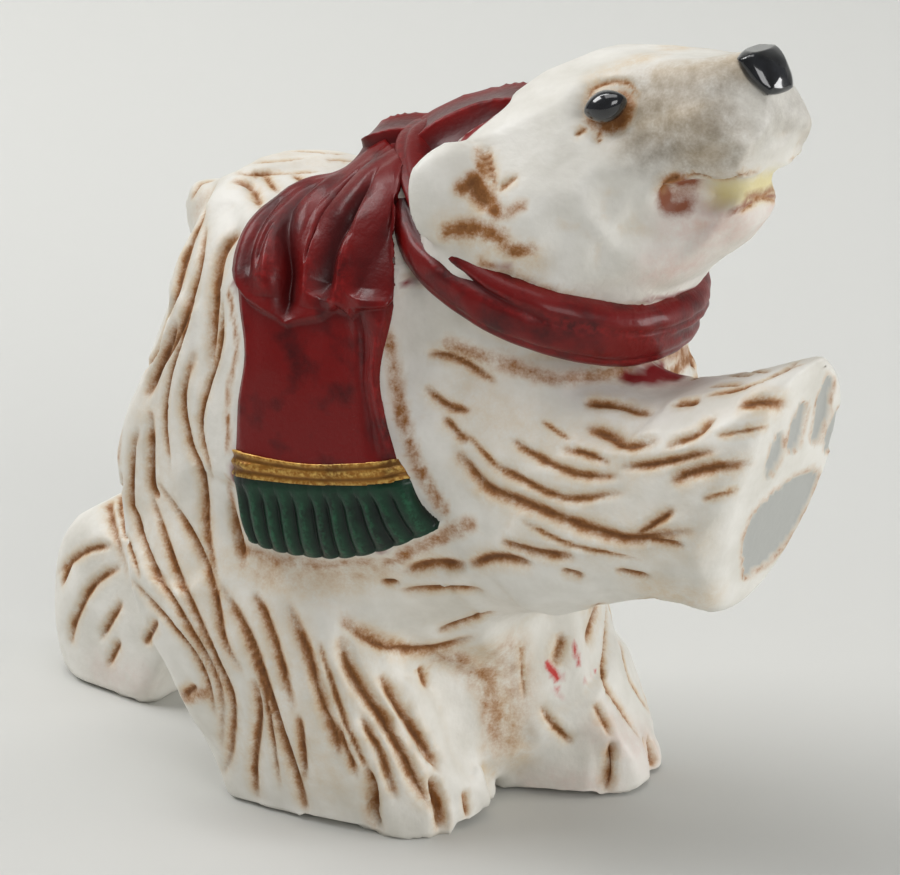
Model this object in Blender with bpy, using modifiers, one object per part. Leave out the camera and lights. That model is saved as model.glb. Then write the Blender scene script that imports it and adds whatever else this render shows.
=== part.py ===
# Bear figurine: a walking polar bear with one forepaw raised and a scarf round
# its neck, carved in wood, then cast in one piece.
# Metres, +Z up, the bear heads along +X, its left side is +Y, the soles stand on Z = 0.

import bpy
import bmesh
import numpy as np
from mathutils import Vector
from mathutils.bvhtree import BVHTree

HEIGHT = 0.143                  # floor to the crown of the thrown-up head
UNIT = HEIGHT / 143.0           # the figure's pose is written in shares of its height
SCARF_THICKNESS = 0.0031        # how far the scarf stands proud of the fur
BAND_HEIGHT = 0.0105            # the turn of the scarf round the throat
FRINGE_THICKNESS = 0.0034
FRINGE_FLUTES = 11
GROOVE_WIDTH = 0.0021           # half width of a gouge cut in the fur
GROOVE_DEPTH = 0.0015
TOE_GAP_WIDTH = 0.0026
TOE_GAP_DEPTH = 0.0042
FACET_SHARE = 0.65              # how far the head is pared flat by the knife
FORM_VOXEL = 0.0012             # grid on which the masses are fused
CARVING_VOXEL = 0.0008          # grid on which the scarf is added and the fur cut
MOUTH_WIDTH = 0.0034            # half width of the cut between the lips
MOUTH_DEPTH = 0.0026
SOFTNESS = 10                   # rounds of smoothing where the masses meet
TRIANGLE_BUDGET = 9600
RING_POINTS = 40
SEED = 7
FUR_COLOUR = (0.83, 0.78, 0.68, 1.0)

# Everything below is a share of the height: 143 shares from the floor to the crown.
HEAD_BASE = np.array([5.0, -2.5, 100.0])
HEAD_YAW = np.radians(-10.0)
HEAD_PITCH = np.radians(27.0)
HEAD_LONG = np.array([np.cos(HEAD_PITCH) * np.cos(HEAD_YAW), np.cos(HEAD_PITCH) * np.sin(HEAD_YAW),
                      np.sin(HEAD_PITCH)])                      # along the muzzle
HEAD_RIGHT = np.array([np.sin(HEAD_YAW), -np.cos(HEAD_YAW), 0.0])
HEAD_UP = np.cross(HEAD_RIGHT, HEAD_LONG)
HEAD_REACH = 60.0               # further out than any part of the head
FACET_REACH = 7.5               # how far from its middle a knife facet is flat
FACET_LIFT = 1.4                # the most that paring moves the skin
FACET_ROWS = ((12, 9), (24, 10), (35, 11), (45, 10), (54, 9), (62, 8), (69, 6))   # place along, facets
EYE_ALONG = 49.8
EYE_SIDE = 14.6
EYE_UP = 13.6
ARM_HEEL = np.array([62.5, -19.0, 49.5])                        # lowest point of the raised sole
ARM_TOES = np.array([77.5, -18.0, 97.0])                        # its highest point
SOLE_ACROSS = np.array([0.2, 1.0, 0.0])
THROAT = np.array([19.0, -3.5, 104.0])                          # middle of the scarf's turn
FLOOR_SINK = 3.0                # the legs run on below the floor and are sawn off there


def clear_scene():
    for old in list(bpy.data.objects):
        bpy.data.objects.remove(old, do_unlink=True)


def make_collection(name):
    collection = bpy.data.collections.new(name)
    bpy.context.scene.collection.children.link(collection)
    return collection


def make_material(name, colour, roughness, metallic):
    material = bpy.data.materials.new(name)
    material.use_nodes = True
    shader = material.node_tree.nodes["Principled BSDF"]
    shader.inputs["Base Color"].default_value = colour
    shader.inputs["Roughness"].default_value = roughness
    shader.inputs["Metallic"].default_value = metallic
    return material


def station(centre, across, up, down=None, square=2.0):
    """One section of a loft: its centre, its half sizes as vectors and its squareness."""
    down = up if down is None else down
    return [Vector(centre), Vector(across), Vector(up), Vector(down), square]


def blend_stations(stations, steps):
    """Catmull-Rom sections between the given ones, so that a mass swells smoothly."""
    rows = np.array([[*s[0], *s[1], *s[2], *s[3], s[4]] for s in stations])
    padded = np.vstack([2 * rows[0] - rows[1], rows, 2 * rows[-1] - rows[-2]])
    out = []
    for i in range(1, len(padded) - 2):
        a, b, c, d = padded[i - 1:i + 3]
        for t in np.arange(steps) / steps:
            out.append(0.5 * (2 * b + (c - a) * t + (2 * a - 5 * b + 4 * c - d) * t ** 2
                              + (3 * b - a - 3 * c + d) * t ** 3))
    out.append(rows[-1])
    return np.array(out)


def add_loft(masses, stations, steps=5):
    """A closed mass through unlike sections, each a superellipse."""
    angles = np.linspace(0.0, 2 * np.pi, RING_POINTS, endpoint=False)
    rings = []
    for row in blend_stations(stations, steps):
        centre, across, up, down = row[0:3], row[3:6], row[6:9], row[9:12]
        power = 2.0 / row[12]
        cos = np.sign(np.cos(angles)) * np.abs(np.cos(angles)) ** power
        sin = np.sign(np.sin(angles)) * np.abs(np.sin(angles)) ** power
        height = np.where(sin[:, None] > 0, sin[:, None] * up, sin[:, None] * down)
        rings.append((centre + cos[:, None] * across + height) * UNIT)
    mesh = bmesh.new()
    loops = [[mesh.verts.new(p) for p in ring] for ring in rings]
    for low, high in zip(loops[:-1], loops[1:]):
        for i in range(RING_POINTS):
            j = (i + 1) % RING_POINTS
            mesh.faces.new((low[i], low[j], high[j], high[i]))
    mesh.faces.new(list(reversed(loops[0])))
    mesh.faces.new(loops[-1])
    bmesh.ops.recalc_face_normals(mesh, faces=mesh.faces)
    masses.append(mesh)


def add_ball(masses, centre, axes):
    """An ellipsoid whose three half axes are given as vectors."""
    mesh = bmesh.new()
    bmesh.ops.create_uvsphere(mesh, u_segments=32, v_segments=20, radius=1.0)
    turn = np.array(axes, float).T
    for vert in mesh.verts:
        vert.co = Vector((np.array(centre, float) + turn @ np.array(vert.co)) * UNIT)
    bmesh.ops.recalc_face_normals(mesh, faces=mesh.faces)
    masses.append(mesh)


def fuse(name, masses, voxel, smooth_rounds):
    """The masses become one skin, as in a solid casting."""
    joined = bpy.data.meshes.new(name)
    whole = bmesh.new()
    for mass in masses:
        part = bpy.data.meshes.new("mass")
        mass.to_mesh(part)
        mass.free()
        whole.from_mesh(part)
        bpy.data.meshes.remove(part)
    whole.to_mesh(joined)
    whole.free()
    obj = bpy.data.objects.new(name, joined)
    bpy.context.scene.collection.objects.link(obj)
    remesh = obj.modifiers.new("skin", "REMESH")
    remesh.mode = "VOXEL"
    remesh.voxel_size = voxel
    if smooth_rounds:
        smooth = obj.modifiers.new("blend", "SMOOTH")
        smooth.factor = 0.5
        smooth.iterations = smooth_rounds
    return bake(obj)


def bake(obj):
    """The object's evaluated mesh takes the place of its modifiers."""
    graph = bpy.context.evaluated_depsgraph_get()
    graph.update()
    mesh = bpy.data.meshes.new_from_object(obj.evaluated_get(graph))
    obj.modifiers.clear()
    obj.data = mesh
    return obj


def read_points(mesh):
    points = np.empty(len(mesh.vertices) * 3)
    normals = np.empty(len(mesh.vertices) * 3)
    mesh.vertices.foreach_get("co", points)
    mesh.vertices.foreach_get("normal", normals)
    return points.reshape(-1, 3), normals.reshape(-1, 3)


def write_points(mesh, points):
    mesh.vertices.foreach_set("co", points.ravel())
    mesh.update()


def in_head(along, right, up):
    return HEAD_BASE + HEAD_LONG * along + HEAD_RIGHT * right + HEAD_UP * up


def head_section(along, half_width, top, bottom, square=2.0, shift=0.0):
    return station(in_head(along, 0, shift), HEAD_RIGHT * half_width, HEAD_UP * top, HEAD_UP * bottom, square)


def add_body(masses):
    """Rump, barrel and chest, one lump from the tail to the brisket."""
    def section(x, z, half_width, top, bottom, square, y=0.0, lean=0.0):
        return station((x, y, z), (0, half_width, 0), (lean, 0, top), (-lean * 0.5, 0, bottom), square)
    add_loft(masses, [
        section(-61, 54, 4, 6, 12, 2.0),
        section(-57.5, 57, 21, 31, 22, 2.2, lean=8),
        section(-46, 62, 27, 48, 30, 2.6, lean=5),
        section(-31, 67, 32, 46.5, 37, 2.6, lean=2),
        section(-8, 68, 33, 44, 38, 2.4),
        section(12, 70, 33, 40, 36, 2.3),
        section(28, 74, 28, 30, 32, 2.2),
        section(38, 76, 21, 20, 24, 2.1),
        section(44, 76, 10, 10, 12, 2.0),
    ])
    add_loft(masses, [
        station((2, -1, 84), (20, 0, -12), (0, 28, 0), None, 2.2),
        station((11, -2, 98), (24, 0, -13), (0, 29, 0), None, 2.2),
        station((20, -3, 110), (20, 0, -10), (0, 26, 0), None, 2.1),
    ])


def add_hind_leg_right(masses):
    """The near leg strides forward under the belly, its foot splayed outwards."""
    add_loft(masses, [
        station((-31, -10, 62), (23.5, 4, 0), (-4, 17.5, 0), None, 2.3),
        station((-28, -15, 42), (27, 2, 0), (-4, 19, 0), None, 2.5),
        station((-18, -16, 20), (25, -1, 0), (3, 17, 0), None, 2.7),
        station((-12.5, -12.5, 6), (24.5, -2, 0), (4, 14.8, 0), None, 2.9),
        station((-12, -12, -FLOOR_SINK), (24.3, -3, 0), (4.5, 14.5, 0), None, 3.0),
    ])


def add_fore_leg_left(masses):
    """The far leg carries the chest, upright beneath the raised arm."""
    add_loft(masses, [
        station((8, 14, 62), (15, 0, 0), (0, 17, 0), None, 2.3),
        station((9, 15, 40), (13, 2, 0), (-2, 16, 0), None, 2.4),
        station((12, 17, 22), (13, 3, 0), (-3, 16, 0), None, 2.6),
        station((15.5, 18, 7), (14.8, 4, 0), (-3, 15.5, 0), None, 2.8),
        station((16.3, 18.5, -FLOOR_SINK), (15, 4, 0), (-3, 15.3, 0), None, 2.9),
    ])


def add_hind_leg_left(masses):
    """The far hind leg is stretched back, its foot lying on the floor."""
    add_loft(masses, [
        station((-38, 14, 54), (10, 0, 16), (0, 18, 0), None, 2.2),
        station((-54, 20, 32), (7, 0, 19), (0, 17, 0), None, 2.4),
        station((-66, 24, 16), (5, 0, 23), (0, 17, 0), None, 2.8),
        station((-79, 26, 14), (3, 0, 23), (0, 16, 0), None, 2.9),
        station((-90, 27, 14), (1, 0, 19), (0, 13, 0), None, 2.7),
        station((-96, 27, 15), (0, 0, 11), (0, 7, 0), None, 2.3),
    ])


def add_raised_arm(masses):
    """The right foreleg is pushed forward, its sole turned to the front."""
    half = (ARM_TOES - ARM_HEEL) * 0.5
    middle = (ARM_HEEL + ARM_TOES) * 0.5
    across = SOLE_ACROSS
    add_loft(masses, [
        station((4, -12, 70), (0, 18, 0), (0, 0, 24), None, 2.2),
        station((24, -15, 68), (0, 19, 0), (3, 0, 25), (2, 0, 27), 2.3),
        station((42, -17, 66), (0, 18, 0), (5, 0, 22), (5, 0, 19), 2.4),
        station(middle - np.array([12.0, 0, 0]), across * 17, half * 0.78, half * 0.9, 2.5),
        station(middle - np.array([4.0, 0, 0]), across * 16.5, half * 0.97, half * 1.0, 2.2),
        station(middle - np.array([1.0, -0.4, 0]), across * 15.6, half * 1.0, half * 1.0, 2.0),
        station(middle + np.array([0.6, 0.8, 0]), across * 13.6, half * 0.93, half * 0.94, 1.85),
    ])


def add_webs(masses):
    """Belly, the low web between near and far leg, and the stub of a tail."""
    add_loft(masses, [
        station((-40, 4, 40), (0, 20, 0), (0, 0, 22), (0, 0, 16), 2.3),
        station((-10, 4, 38), (0, 22, 0), (0, 0, 22), (0, 0, 16), 2.3),
        station((16, 4, 42), (0, 22, 0), (0, 0, 22), (0, 0, 14), 2.3),
    ])
    add_loft(masses, [
        station((-8, -8, 20), (12, -6, 0), (0, 0, 20), (0, 0, 16), 2.4),
        station((6, 2, 20), (9, -6, 0), (0, 0, 20), (0, 0, 15.5), 2.4),
        station((18, 12, 20), (8, -4, 0), (0, 0, 20), (0, 0, 16), 2.4),
    ])
    add_loft(masses, [
        station((-38, 0, 98), (0, 9, 0), (0, 0, 10), (0, 0, 14), 2.4),
        station((-47, 0, 100), (0, 7, 0), (0, 0, 9.0), (0, 0, 10), 2.7),
        station((-53, 0, 101), (0, 4.5, 0), (0, 0, 7.0), (0, 0, 6), 3.0),
    ])


def add_head(masses):
    """Skull, cheeks, muzzle and lower jaw, thrown up with the mouth a little open."""
    add_loft(masses, [
        head_section(2, 22, 16, 20, 2.1),
        head_section(14, 27, 20.5, 23, 2.2),
        head_section(28, 27, 23.5, 20.5, 2.3),
        head_section(40, 22.5, 24, 17.5, 2.4),
        head_section(49, 17.5, 21.5, 6, 2.5),
        head_section(58, 14, 18, 4, 2.6),
        head_section(65, 12.5, 15.5, 6.0, 2.6),
        head_section(69, 10.5, 12, 5.5, 2.5),
        head_section(71, 6, 5, 3, 2.3),
    ])
    add_loft(masses, [
        head_section(28, 21, 6, 14, 2.3, -6),
        head_section(42, 15.5, 5, 10.5, 2.4, -8.5),
        head_section(51, 11.5, 3.2, 7.6, 2.4, -8.5),
        head_section(57.5, 9.5, 2.6, 5.0, 2.5, -8.2),
        head_section(60.8, 8.0, 2.2, 3.4, 2.5, -8.2),
        head_section(62.3, 5.5, 1.2, 1.8, 2.4, -8.4),
    ])
    for side in (1.0, -1.0):
        add_loft(masses, [
            station(in_head(27, side * 17, 8), HEAD_LONG * 5 + HEAD_UP, HEAD_UP * 10 + HEAD_LONG, None, 2.5),
            station(in_head(25, side * 23, 9), HEAD_LONG * 4, HEAD_UP * 9.5 + HEAD_LONG * 1.5, None, 2.8),
            station(in_head(22, side * 28, 9.8), HEAD_LONG * 3.6, HEAD_UP * 8.2 + HEAD_LONG * 2, None, 3.0),
            station(in_head(19.5, side * 32.3, 10.4), HEAD_LONG * 2.6, HEAD_UP * 5.8 + HEAD_LONG * 2,
                    None, 3.0),
        ], steps=4)


def add_eyes_and_nose(masses):
    """Bulging eyes under the brow, and the nose on the tip of the muzzle."""
    for side in (1.0, -1.0):
        look = HEAD_RIGHT * side * 0.85 + HEAD_UP * 0.4 + HEAD_LONG * 0.35
        look /= np.linalg.norm(look)
        long_way = HEAD_LONG * 0.9 + HEAD_UP * 0.1 - look * np.dot(HEAD_LONG * 0.9 + HEAD_UP * 0.1, look)
        long_way /= np.linalg.norm(long_way)
        add_ball(masses, in_head(EYE_ALONG, side * EYE_SIDE, EYE_UP),
                 [long_way * 3.9, np.cross(look, long_way) * 2.9, look * 2.4])
    add_loft(masses, [
        station(in_head(67.4, 0, 11.8), HEAD_RIGHT * 3.2, HEAD_UP * 1.5, None, 2.4),
        station(in_head(69.3, 0, 10.9), HEAD_RIGHT * 4.8, HEAD_UP * 3.0, None, 2.6),
        station(in_head(71.5, 0, 9.6), HEAD_RIGHT * 5.0, HEAD_UP * 3.8, None, 2.5),
        station(in_head(73.2, 0, 8.7), HEAD_RIGHT * 3.3, HEAD_UP * 2.6, None, 2.3),
    ], steps=4)


def curve_through(points, count):
    """Points spread evenly in parameter along a smooth curve through the given ones."""
    rows = np.array(points, float)
    padded = np.vstack([2 * rows[0] - rows[1], rows, 2 * rows[-1] - rows[-2]])
    place = np.linspace(0.0, len(rows) - 1.0001, count)
    i = place.astype(int)
    t = (place - i)[:, None]
    a, b, c, d = padded[i], padded[i + 1], padded[i + 2], padded[i + 3]
    return 0.5 * (2 * b + (c - a) * t + (2 * a - 5 * b + 4 * c - d) * t ** 2
                  + (3 * b - a - 3 * c + d) * t ** 3)


TURN_LINE = [                       # middle of the turn's outer face, from the nape round by the right
    (-4, -11, 119), (8.5, -28, 109.5), (22, -33, 103.2), (34, -30.5, 98.8), (43.5, -21, 95.4),
    (46.5, -7, 94), (43.5, 6, 95), (35, 18, 98.5), (22, 25, 103), (8, 23, 109), (-3, 8, 118),
]


def add_scarf_turn(masses):
    """The turn round the throat: a closed band, low in front, high on the nape."""
    closed = TURN_LINE[-2:] + TURN_LINE + TURN_LINE[:3]
    steps = 3
    line = curve_through(closed, (len(closed) - 1) * steps + 1)
    runs = np.gradient(line, axis=0)
    stations = []
    for place, run in list(zip(line, runs))[2 * steps:-2 * steps]:
        run = run / np.linalg.norm(run)
        outward = place - THROAT
        outward = outward - run * np.dot(outward, run)
        outward = outward / np.linalg.norm(outward)
        height = np.cross(run, outward) * BAND_HEIGHT / UNIT / 2
        stations.append(station(place - outward * 3.0, outward * 4.6, height, None, 2.6))
    add_loft(masses, stations, steps=1)


def add_scarf_knot(masses):
    """The knot on the nape with a short loop standing out behind it."""
    add_loft(masses, [
        station((15, 1, 124.5), (0, 8, 0), (2, 0, 4.2), None, 2.3),
        station((9, -2, 122.5), (0, 9, 2), (2, 0, 5.8), None, 2.5),
        station((2, -5, 119.5), (0, 8.5, 2), (2, 0, 5.5), None, 2.5),
        station((-3, -8, 116.5), (0, 7, 2), (2, 0, 4.5), None, 2.4),
    ], steps=4)
    add_loft(masses, [
        station((-1, -3, 117.5), (0, 6, 0), (0, 0, 4.4), None, 2.4),
        station((-8, -3, 117.2), (0, 7, 0), (0, 0, 4.6), None, 2.8),
        station((-13.5, -3, 116.8), (0, 6, 0), (0, 0, 3.4), None, 2.8),
    ], steps=4)


SCARF_ROWS = [                      # left edge, middle and right edge of the hanging end
    [(-9, -6, 118), (-4, -12, 119), (1, -18, 117)],
    [(-21, -17, 112), (-10.5, -22.5, 109.5), (3, -26, 110)],
    [(-26, -26, 103), (-11, -28, 102), (4.8, -30, 102)],
    [(-24.5, -31, 96), (-9.5, -31, 96), (5, -31.5, 97)],
    [(-22, -34, 87.5), (-8.5, -34, 88.5), (4.3, -34, 87.5)],
    [(-22.8, -35, 79), (-8, -35, 79.5), (5.2, -34, 80.5)],
    [(-23, -35, 70.2), (-7.8, -35, 70.2), (7.2, -34, 73)],
]
BORDER_ROWS = [
    [(-23.2, -35, 70.2), (-8, -35, 70.2), (7.4, -34, 73)],
    [(-23.4, -35, 66.2), (-7.5, -35, 67.2), (9.8, -34, 70)],
]
FRINGE_ROWS = [
    [(-23.4, -34, 66.8), (-7.5, -35, 67.6), (9.4, -34, 70.4)],
    [(-22.8, -34, 60), (-6.5, -34, 60.5), (12, -34, 66)],
    [(-22, -34, 54), (-6, -34, 53.4), (14.6, -33, 61.8)],
]


def lay_cloth(masses, tree, rows, across, down, thickness, sink=4.0):
    """A slab that follows the body under it: its outer face is thickness(u, v) proud."""
    rails = [curve_through([row[i] for row in rows], down) for i in range(3)]
    grid = [curve_through([rail[j] for rail in rails], across) for j in range(down)]
    mesh = bmesh.new()
    outer, inner = [], []
    for j, line in enumerate(grid):
        outer_row, inner_row = [], []
        for i, point in enumerate(line):
            place, normal, _, _ = tree.find_nearest(Vector(point * UNIT))
            proud = thickness(i / (across - 1), j / (down - 1))
            outer_row.append(mesh.verts.new(place + normal * proud))
            inner_row.append(mesh.verts.new(place - normal * sink * UNIT))
        outer.append(outer_row)
        inner.append(inner_row)
    last_row, last_column = down - 1, across - 1
    for j in range(last_row):
        for i in range(last_column):
            mesh.faces.new((outer[j][i], outer[j][i + 1], outer[j + 1][i + 1], outer[j + 1][i]))
            mesh.faces.new((inner[j][i], inner[j + 1][i], inner[j + 1][i + 1], inner[j][i + 1]))
    for j in range(last_row):
        for i in (0, last_column):
            mesh.faces.new((outer[j][i], outer[j + 1][i], inner[j + 1][i], inner[j][i]))
    for i in range(last_column):
        for j in (0, last_row):
            mesh.faces.new((outer[j][i], inner[j][i], inner[j][i + 1], outer[j][i + 1]))
    bmesh.ops.recalc_face_normals(mesh, faces=mesh.faces)
    masses.append(mesh)


def add_scarf_end(masses, tree):
    """The hanging end with its gathers, the braid above the fringe and the fluted fringe."""
    def gathers(u, v):
        fold = 0.5 + 0.5 * np.cos(2 * np.pi * (2.8 * u + 0.15 + 0.3 * v))
        return SCARF_THICKNESS * (0.8 + 0.95 * fold * np.clip(1.25 - 1.5 * v, 0, 1) + 0.2 * v)

    def braid(u, v):
        return SCARF_THICKNESS * 1.2

    def flutes(u, v):
        return FRINGE_THICKNESS * (0.62 + 0.38 * abs(np.cos(np.pi * FRINGE_FLUTES * u)))

    lay_cloth(masses, tree, SCARF_ROWS, 41, 45, gathers)
    lay_cloth(masses, tree, BORDER_ROWS, 41, 6, braid)
    lay_cloth(masses, tree, FRINGE_ROWS, 111, 18, flutes)


# Guide lines of the fur: each family of locks runs between two of them.
FUR = {
    "right thigh": dict(count=11, cuts=3, guides=[
        [(-52, -10, 102), (-60, -14, 80), (-62, -14, 55), (-50, -20, 28), (-37, -22, 3)],
        [(-30, -30, 88), (-31, -33, 70), (-26, -34, 50), (-13, -33, 28), (2, -28, 8)]]),
    "rump": dict(count=9, cuts=3, guides=[
        [(-53, -6, 100), (-60, -8, 80), (-62, -8, 56), (-54, -8, 34), (-36, -10, 14)],
        [(-50, 14, 100), (-57, 22, 80), (-55, 28, 60), (-56, 34, 44), (-62, 40, 30)]]),
    "left flank": dict(count=13, cuts=3, guides=[
        [(-45, 20, 99), (-50, 30, 75), (-46, 34, 58), (-52, 38, 42), (-60, 41, 28)],
        [(26, 26, 98), (24, 32, 80), (18, 34, 62), (14, 34, 42), (16, 36, 20)]]),
    "back": dict(count=7, cuts=2, guides=[
        [(-12, -22, 112), (-28, -22, 109), (-46, -16, 105)],
        [(-4, 24, 110), (-24, 24, 108), (-46, 16, 103)]]),
    "raised arm": dict(count=9, cuts=3, guides=[
        [(18, -32, 91), (34, -34, 88), (52, -34, 89), (66, -34, 93)],
        [(6, -36, 56), (22, -36, 50), (40, -35, 48), (56, -33, 50)]]),
    "belly": dict(count=4, cuts=2, guides=[
        [(-8, -34, 50), (6, -34, 45), (20, -32, 44), (34, -28, 45)],
        [(-4, -33, 36), (8, -30, 34), (20, -24, 36), (32, -20, 42)]]),
    "far leg": dict(count=7, cuts=2, guides=[
        [(16, 2, 34), (20, 3, 18), (22, 4, 4)],
        [(22, 34, 36), (28, 34, 18), (32, 34, 4)]]),
    "far leg inside": dict(count=4, cuts=2, guides=[
        [(24, 8, 38), (27, 10, 20), (30, 14, 5)],
        [(24, 26, 40), (28, 26, 22), (33, 27, 5)]]),
    "near leg front": dict(count=5, cuts=2, guides=[
        [(-6, -32, 34), (0, -30, 20), (6, -24, 6)],
        [(8, -20, 34), (10, -14, 22), (12, -8, 6)]]),
    "left hind leg": dict(count=6, cuts=2, guides=[
        [(-74, 12, 36), (-66, 8, 26), (-60, 8, 8)],
        [(-96, 18, 22), (-90, 12, 12), (-80, 10, 3)]]),
    "left hind leg outside": dict(count=6, cuts=2, guides=[
        [(-70, 40, 34), (-62, 42, 20), (-56, 42, 6)],
        [(-97, 32, 22), (-92, 38, 12), (-84, 42, 4)]]),
    "breast": dict(count=6, cuts=2, guides=[
        [(46, 2, 88), (46, 2, 74), (40, 4, 58)],
        [(34, 28, 90), (36, 28, 74), (30, 30, 58)]]),
}
TOE_GAPS = [                        # where the gaps between the toes meet the floor, and their rise
    ((-2, -26, 0), 13), ((8.7, -20, 0), 12), ((10.5, -7, 0), 10),
    ((26.5, 9.5, 0), 10), ((30.5, 21, 0), 11), ((29, 31, 0), 10),
]
PAW_GAPS = 3                        # grooves between the toes of the raised paw
MOUTH_LINE = [                      # from the corner of the mouth to its front, in the head's frame
    (50.5, 13, -3.5), (53, 11, -4), (57, 8.5, -5.2), (61, 6.8, -6.6), (64.5, 4, -7.2),
]


def fur_strokes():
    """Each lock is one gouge cut: part of a line blended between its family's guides."""
    chance = np.random.default_rng(SEED)
    strokes = []
    for family in FUR.values():
        first, second = [curve_through(guide, 40) for guide in family["guides"]]
        for k in range(family["count"]):
            share = (k + chance.uniform(0.25, 0.75)) / family["count"]
            line = first * (1 - share) + second * share
            edges = np.linspace(0.0, 1.0, family["cuts"] + 1)
            for low, high in zip(edges[:-1], edges[1:]):
                start = low + chance.uniform(-0.06, 0.12) * (high - low) * 2
                end = high + chance.uniform(-0.16, 0.10) * (high - low) * 2
                i, j = int(max(start, 0) * 39), int(min(end, 1) * 39)
                if j - i >= 4:
                    sway = chance.uniform(-1.2, 1.2)
                    bend = 0.02 * sway * np.sin(np.linspace(0, 3, j - i + 1))[:, None]
                    piece = line[i:j + 1] + (second - first)[i:j + 1] * bend
                    strokes.append((piece * UNIT, GROOVE_WIDTH * chance.uniform(0.8, 1.25),
                                    GROOVE_DEPTH * chance.uniform(0.75, 1.2)))
    return strokes


def toe_strokes():
    strokes = []
    for foot, rise in TOE_GAPS:
        steps = np.linspace(-1.0, 1.0, 8)[:, None]
        line = np.array(foot, float) + (steps * 0.5 + 0.5) * np.array([-0.1, 0.0, 1.0]) * rise
        line[0, 2] = -FLOOR_SINK
        strokes.append((line * UNIT, TOE_GAP_WIDTH, TOE_GAP_DEPTH))
    along = (ARM_TOES - ARM_HEEL) / np.linalg.norm(ARM_TOES - ARM_HEEL)
    for k in range(PAW_GAPS):
        side = (k - (PAW_GAPS - 1) / 2) * 6.5
        reach = 46.0 - 0.10 * side ** 2
        start = ARM_HEEL + along * (reach - 9.0) + SOLE_ACROSS * side * 0.92 + np.array([1.0, 0, 0])
        end = ARM_HEEL + along * (reach + 8.0) + SOLE_ACROSS * side * 1.05 - np.array([1.0, 0, 0])
        line = start + (end - start) * np.linspace(0, 1, 10)[:, None]
        strokes.append((line * UNIT, TOE_GAP_WIDTH * 0.8, TOE_GAP_DEPTH * 0.55))
    return strokes


def mouth_strokes():
    """The lips part: one wide cut along each side of the muzzle, wide at the corner."""
    strokes = []
    for side in (1.0, -1.0):
        line = np.array([in_head(x, side * y, z) for x, y, z in curve_through(MOUTH_LINE, 14)])
        strokes.append((line * UNIT, MOUTH_WIDTH, MOUTH_DEPTH))
    return strokes


def lay_on(tree, strokes):
    """Strokes are drawn near the skin, so each point is moved to the nearest place on it."""
    laid = []
    for line, width, depth in strokes:
        points = [tree.find_nearest(Vector(point))[0] for point in line]
        laid.append((np.array([[*p] for p in points]), width, depth))
    return laid


def carve(mesh, strokes):
    """Each gouge cut is a V that fades at its ends; the deepest cut wins at a crossing."""
    points, normals = read_points(mesh)
    cut = np.zeros(len(points))
    for line, width, depth in strokes:
        near = np.all((points > line.min(0) - width) & (points < line.max(0) + width), axis=1)
        index = np.nonzero(near)[0]
        if not len(index):
            continue
        best = np.full(len(index), 1.0)
        where = np.zeros(len(index))
        for k, (a, b) in enumerate(zip(line[:-1], line[1:])):
            run = b - a
            share = np.clip(((points[index] - a) @ run) / max(run @ run, 1e-12), 0, 1)
            gap = np.linalg.norm(points[index] - a - share[:, None] * run, axis=1)
            closer = gap < best
            best[closer] = gap[closer]
            where[closer] = (k + share[closer]) / (len(line) - 1)
        fade = np.clip(np.minimum(where, 1 - where) * 4.0, 0.15, 1.0) ** 0.6
        depths = depth * fade * np.clip(1 - best / width, 0, 1) ** 1.2
        cut[index] = np.maximum(cut[index], depths)
    write_points(mesh, points - normals * cut[:, None])


def facet_seeds():
    """Where the knife pared the head flat: every other row is turned by half a facet."""
    seeds = []
    for row, (along, ring) in enumerate(FACET_ROWS):
        for k in range(ring):
            seeds.append((along, (k + 0.5 * (row % 2)) * 2 * np.pi / ring))
    return seeds


def pare_head(mesh, tree):
    """Flat knife facets: each point near the head moves towards the plane of its facet."""
    points, normals = read_points(mesh)
    spots, faces = [], []
    for along, angle in facet_seeds():
        middle = in_head(along, 0, -1.0) * UNIT
        out = HEAD_RIGHT * np.sin(angle) + HEAD_UP * np.cos(angle)
        place, normal, _, _ = tree.ray_cast(Vector(middle + out * HEAD_REACH * UNIT), Vector(-out))
        if place is not None:
            spots.append([*place])
            faces.append([*normal])
    spots, faces = np.array(spots), np.array(faces)
    rel = points / UNIT - HEAD_BASE
    along = rel @ HEAD_LONG
    reach = np.clip((along - 18) / 10, 0, 1) * np.clip((rel @ HEAD_UP + 24) / 8, 0, 1)
    index = np.nonzero(reach > 0)[0]
    distance = np.linalg.norm(points[index][:, None, :] - spots[None], axis=2)
    nearest = distance.argmin(axis=1)
    close = np.clip(1.6 - distance[np.arange(len(index)), nearest] / (FACET_REACH * UNIT), 0, 1)
    agree = np.clip((np.sum(normals[index] * faces[nearest], axis=1) - 0.55) / 0.3, 0, 1)
    lift = np.sum((points[index] - spots[nearest]) * faces[nearest], axis=1)
    lift = np.clip(lift, -FACET_LIFT * UNIT, FACET_LIFT * UNIT)
    weight = FACET_SHARE * reach[index] * close * agree
    points[index] -= faces[nearest] * (lift * weight)[:, None]
    write_points(mesh, points)


def cut_at_floor(mesh):
    """The soles are sawn flat at Z = 0."""
    whole = bmesh.new()
    whole.from_mesh(mesh)
    geometry = whole.verts[:] + whole.edges[:] + whole.faces[:]
    cut = bmesh.ops.bisect_plane(whole, geom=geometry, dist=1e-6, plane_co=(0, 0, 0), plane_no=(0, 0, 1),
                                 clear_inner=True)
    edges = [e for e in cut["geom_cut"] if isinstance(e, bmesh.types.BMEdge)]
    bmesh.ops.holes_fill(whole, edges=edges, sides=0)
    bmesh.ops.triangulate(whole, faces=whole.faces[:])
    bmesh.ops.recalc_face_normals(whole, faces=whole.faces[:])
    whole.to_mesh(mesh)
    whole.free()


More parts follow.
